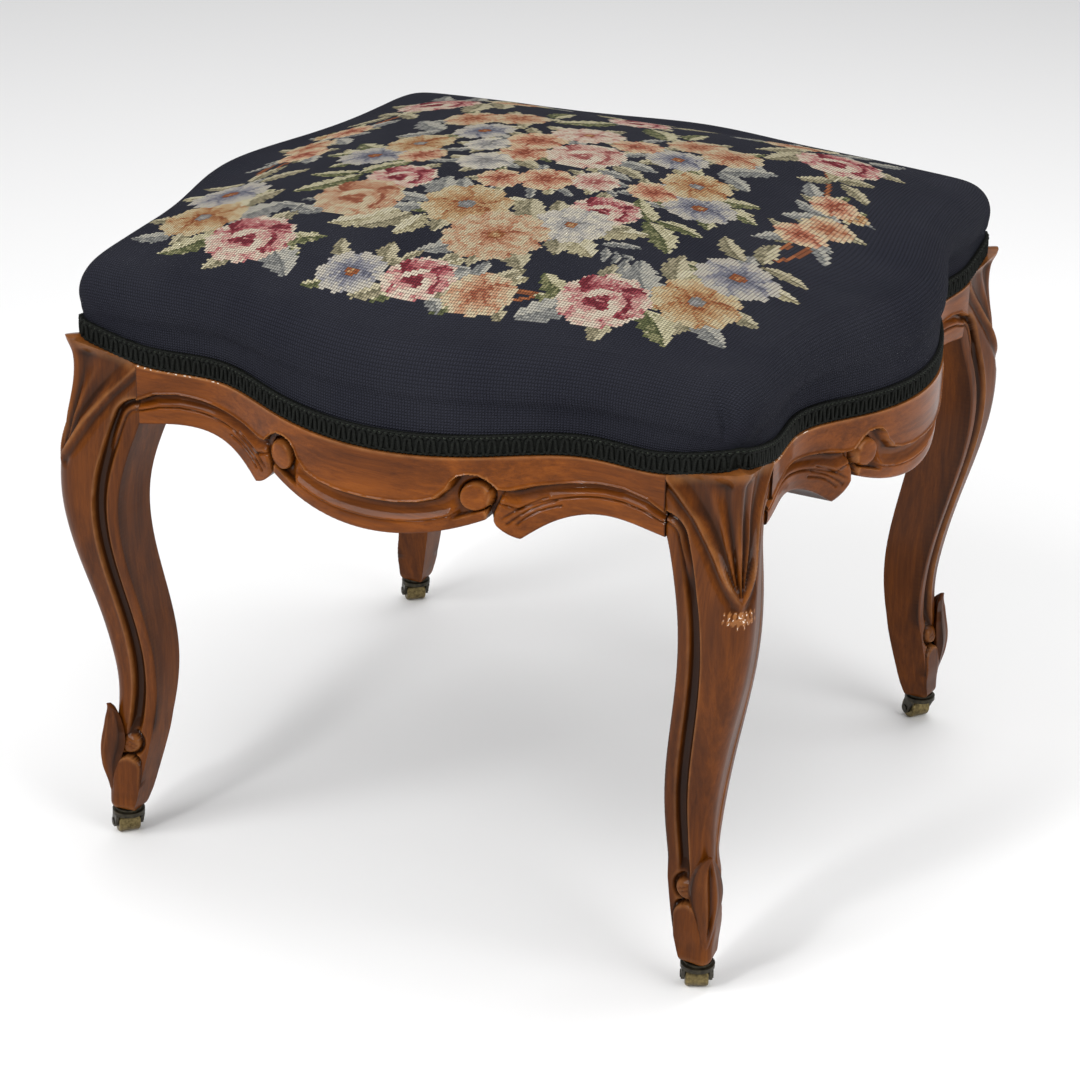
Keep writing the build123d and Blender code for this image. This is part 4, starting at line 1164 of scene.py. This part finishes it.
def gimp_path():
    """The braid's path round the seat: places, outward directions and heights of its lower edge."""
    line, run = half_side(GIMP_IN, 0.0)
    half = at_run(line, run, np.arange(0, run[-1], GIMP_STEP))
    side = np.c_[np.vstack((half[:0:-1] * (-1, 1), half)), np.zeros(2 * len(half) - 1)]
    loop = np.vstack([turned(side, quarter)[:, :2] for quarter in (0, -1, -2, -3)])
    way = ways(loop)
    out = np.c_[-way[:, 1], way[:, 0]]
    out = out * np.sign(np.sum(out * loop, axis=1))[:, None]
    return loop, out, gimp_height(np.minimum(np.abs(loop[:, 0]), np.abs(loop[:, 1]))) + FIT


def cord(path, radius, start):
    """Points and faces of a closed cord along a path."""
    way = ways(path)
    radial = unit(path * (1, 1, 0))
    first = unit(radial - way * np.sum(radial * way, axis=1)[:, None])
    second = np.cross(way, first)
    turn = np.linspace(0, 2 * math.pi, CORD_SIDES, endpoint=False)
    rings = (path[:, None, :] + radius * (np.cos(turn)[None, :, None] * first[:, None, :]
                                          + np.sin(turn)[None, :, None] * second[:, None, :]))
    return rings.reshape(-1, 3), grid_faces(len(path), CORD_SIDES, True, True, start)


def braid_silk(name, gain):
    """Dark green-black silk cords, or paler ones."""
    made, tree, shader = new_material(name, Roughness=0.7, Specular_IOR_Level=0.12)
    place = object_place(tree)
    threads = noise(tree, stretched(tree, place, (900, 900, 2400)), 1.0, 3.0)
    shades = [(part, linear(*[gain * c for c in shade])) for part, shade in BRAID_SHADES]
    paint(tree, shader, ramp(tree, threads, shades))
    bump(tree, threads, shader, 0.5, 0.0003)
    return made


def make_gimp():
    loop, out, low = gimp_path()
    run = run_along(loop)
    total = run[-1] + np.linalg.norm(loop[0] - loop[-1])
    phase = run / total * 2 * math.pi * round(total / GIMP_PITCH)

    def path(offset, height):
        offset = np.broadcast_to(offset, run.shape)
        height = np.broadcast_to(height, run.shape)
        return np.c_[loop + out * offset[:, None], low + height]

    corners = [path(0.1, 0.0), path(0.9, 0.0), path(0.9, GIMP_H), path(0.1, GIMP_H)]
    points = np.stack(corners, axis=1).reshape(-1, 3)
    faces = grid_faces(len(run), len(corners), True, True)
    upright = np.tanh(4.0 * np.sin(phase))
    cords = ((path(1.15 + 0.3 * np.cos(2 * phase), 5.2 + 3.8 * upright), 1.05),
             (path(1.3 + 0.3 * np.sin(2 * phase), 0.9 + 0.15 * np.cos(2 * phase)), 0.75),
             (path(1.4 + 0.35 * np.sin(2 * phase), 10.2 + 0.45 * np.cos(2 * phase)), 0.70),
             (path(1.3 + 0.3 * np.cos(2 * phase), 11.7), 0.75))
    for line, radius in cords:
        more, more_faces = cord(line, radius, len(points))
        points = np.concatenate((points, more))
        faces += more_faces
    piece = make_piece("gimp_trim", points, faces, braid_silk("braid_silk", 1.0), sharp=60.0)
    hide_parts("gimp_braid")
    stitch = path(1.1 + 0.9 * np.tanh(2.0 * np.sin(2 * phase)), 10.9)
    points, faces = cord(stitch, 0.4, 0)
    thread = make_piece("gimp_stitches", points, faces, braid_silk("pale_thread", 2.2), sharp=60.0)


# Dust cover: thin black cotton, tacked at its corners and sagging between

DUST_HALF = 182.5
DUST_TOP = 283.0
DUST_T = 0.8
DUST_NOTCH = 26.0
DUST_SAG = 9.0
DUST_RIPPLE = 0.8
DUST_STEPS = 74
CLOTH_T = 0.5


def cotton():
    """Thin black cotton, dusty and a little faded."""
    made, tree, shader = new_material("cotton", Roughness=0.95, Specular_IOR_Level=0.15, Sheen_Weight=0.1)
    place = object_place(tree)
    dust = noise(tree, place, 14.0, 5.0)
    colour = ramp(tree, dust, ((0.35, linear(20, 20, 22)), (0.7, linear(46, 45, 46))))
    paint(tree, shader, colour)
    bump(tree, weave(tree, place, 320.0), shader, 0.4, 0.0003)
    return made


def make_dust_cover():
    axis = np.linspace(-DUST_HALF, DUST_HALF, DUST_STEPS)
    x, y = np.meshgrid(axis, axis, indexing="ij")
    ax, ay = np.abs(x / DUST_HALF) ** 4, np.abs(y / DUST_HALF) ** 4
    loose = (1 - ax) * (1 - ay)
    ripple = DUST_RIPPLE * np.sin(x / 21 + y / 33) * np.sin(y / 26)
    z = DUST_TOP - DUST_T + (ripple - DUST_SAG) * loose
    kept = (np.abs(x) + np.abs(y)) <= 2 * DUST_HALF - DUST_NOTCH
    index = -np.ones(x.shape, int)
    index[kept] = np.arange(kept.sum())
    points = places(x, y, z)[kept]
    rings = np.stack((index[:-1, :-1], index[1:, :-1], index[1:, 1:], index[:-1, 1:]), axis=-1)
    faces = [tuple(ring) for ring in rings.reshape(-1, 4).tolist() if min(ring) >= 0]
    piece = make_piece("dust_cloth", points, faces, cotton(), closed=False)
    solid = piece.modifiers.new("thickness", "SOLIDIFY")
    solid.thickness = CLOTH_T * MM
    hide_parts("dust_cover")


make_seat()
make_gimp()
make_dust_cover()


# Materials of the pieces that keep their shape: casters, inner wood, tacks and webbing

def spotted(name, dark, pale, scale, depth, **settings):
    """A material that varies between two colours in spots, with a fine relief."""
    made, tree, shader = new_material(name, **settings)
    spots = noise(tree, object_place(tree), scale, 6.0, 0.65)
    colour = ramp(tree, spots, ((0.35, linear(*dark)), (0.68, linear(*pale))))
    paint(tree, shader, colour)
    rough = calc(tree, "ADD", calc(tree, "MULTIPLY", spots, 0.3), 0.28)
    tree.links.new(rough, shader.inputs["Roughness"])
    bump(tree, spots, shader, 0.3, depth)
    return made


def woven(name, dark, pale, scale):
    """A coarse plain weave."""
    made, tree, shader = new_material(name, Roughness=0.9, Specular_IOR_Level=0.2)
    cloth = weave(tree, object_place(tree), scale)
    colour = ramp(tree, cloth, ((0.1, linear(*dark)), (0.7, linear(*pale))))
    paint(tree, shader, colour)
    bump(tree, cloth, shader, 0.6, 0.0005)
    return made


KEPT_MATERIALS = (
    (("caster_wheel",), spotted("aged_brass", (78, 66, 40), (142, 126, 84), 420.0, 0.0002, Metallic=0.8)),
    (("caster_horn", "caster_socket", "caster_axle"),
     spotted("dark_bronze", (24, 22, 17), (70, 64, 48), 380.0, 0.0002, Metallic=0.6)),
    (("corner_block", "rail_dowels"), spotted("inner_wood", (120, 84, 52), (168, 126, 84), 90.0, 0.0003)),
    (("block_screws", "webbing_tacks", "dust_cover_tacks"),
     spotted("tack_steel", (34, 35, 38), (82, 82, 84), 500.0, 0.0001, Metallic=0.7)),
    (("webbing",), woven("webbing_jute", (92, 74, 48), (176, 150, 108), 260.0)),
    (("hessian",), woven("hessian_jute", (108, 86, 56), (190, 162, 116), 420.0)),
)
for starts, material in KEPT_MATERIALS:
    for name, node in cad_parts.items():
        if name.startswith(starts):
            for place_slot in node.material_slots:
                place_slot.material = material

# Floor and light, in metres and watts
FLOOR_HALF = 12.0
# Direction in which the floor darkens, where that starts and ends, and its two greys
FLOOR_WAY = (-0.42, 0.9, 0.0)
FLOOR_FROM, FLOOR_TO = -0.2, 2.4
FLOOR_NEAR, FLOOR_FAR = (0.97, 0.97, 0.97, 1), (0.76, 0.76, 0.765, 1)
WORLD_LIGHT = 0.5
AIM = Vector((0, 0, 0.3))
# Soft square lamps: name, place, size and power
LAMPS = (("key", (-0.9, -1.9, 2.3), 1.4, 38), ("glint", (-0.35, -1.9, 1.5), 0.22, 9),
         ("fill", (2.2, -0.6, 1.5), 1.6, 26), ("top", (0.2, 0.8, 2.6), 2.0, 30))


def make_floor():
    mesh = bpy.data.meshes.new("floor")
    corners = [(FLOOR_HALF * x, FLOOR_HALF * y, 0) for x, y in ((-1, -1), (1, -1), (1, 1), (-1, 1))]
    mesh.from_pydata(corners, [], [(0, 1, 2, 3)])
    made, tree, shader = new_material("floor", Roughness=0.9, Specular_IOR_Level=0.0)
    place = object_place(tree)
    far = add_node(tree, "ShaderNodeVectorMath", {0: place, 1: FLOOR_WAY}, operation="DOT_PRODUCT")
    share = add_node(tree, "ShaderNodeMapRange", {0: far.outputs["Value"], 1: FLOOR_FROM, 2: FLOOR_TO})
    tint = ramp(tree, share.outputs[0], ((0.0, FLOOR_NEAR), (1.0, FLOOR_FAR)))
    paint(tree, shader, tint)
    mesh.materials.append(made)
    floor = add_object("floor", mesh)


def make_lights():
    world = bpy.data.worlds.new("studio")
    bpy.context.scene.world = world
    world.use_nodes = True
    sky = world.node_tree.nodes["Background"]
    sky.inputs["Color"].default_value = (1, 1, 1, 1)
    sky.inputs["Strength"].default_value = WORLD_LIGHT
    for name, place, size, power in LAMPS:
        data = bpy.data.lights.new(name, "AREA")
        data.size = size
        data.energy = power
        lamp = add_object(name, data)
        lamp.location = place
        lamp.rotation_euler = (AIM - Vector(place)).to_track_quat("-Z", "Y").to_euler()


make_floor()
make_lights()
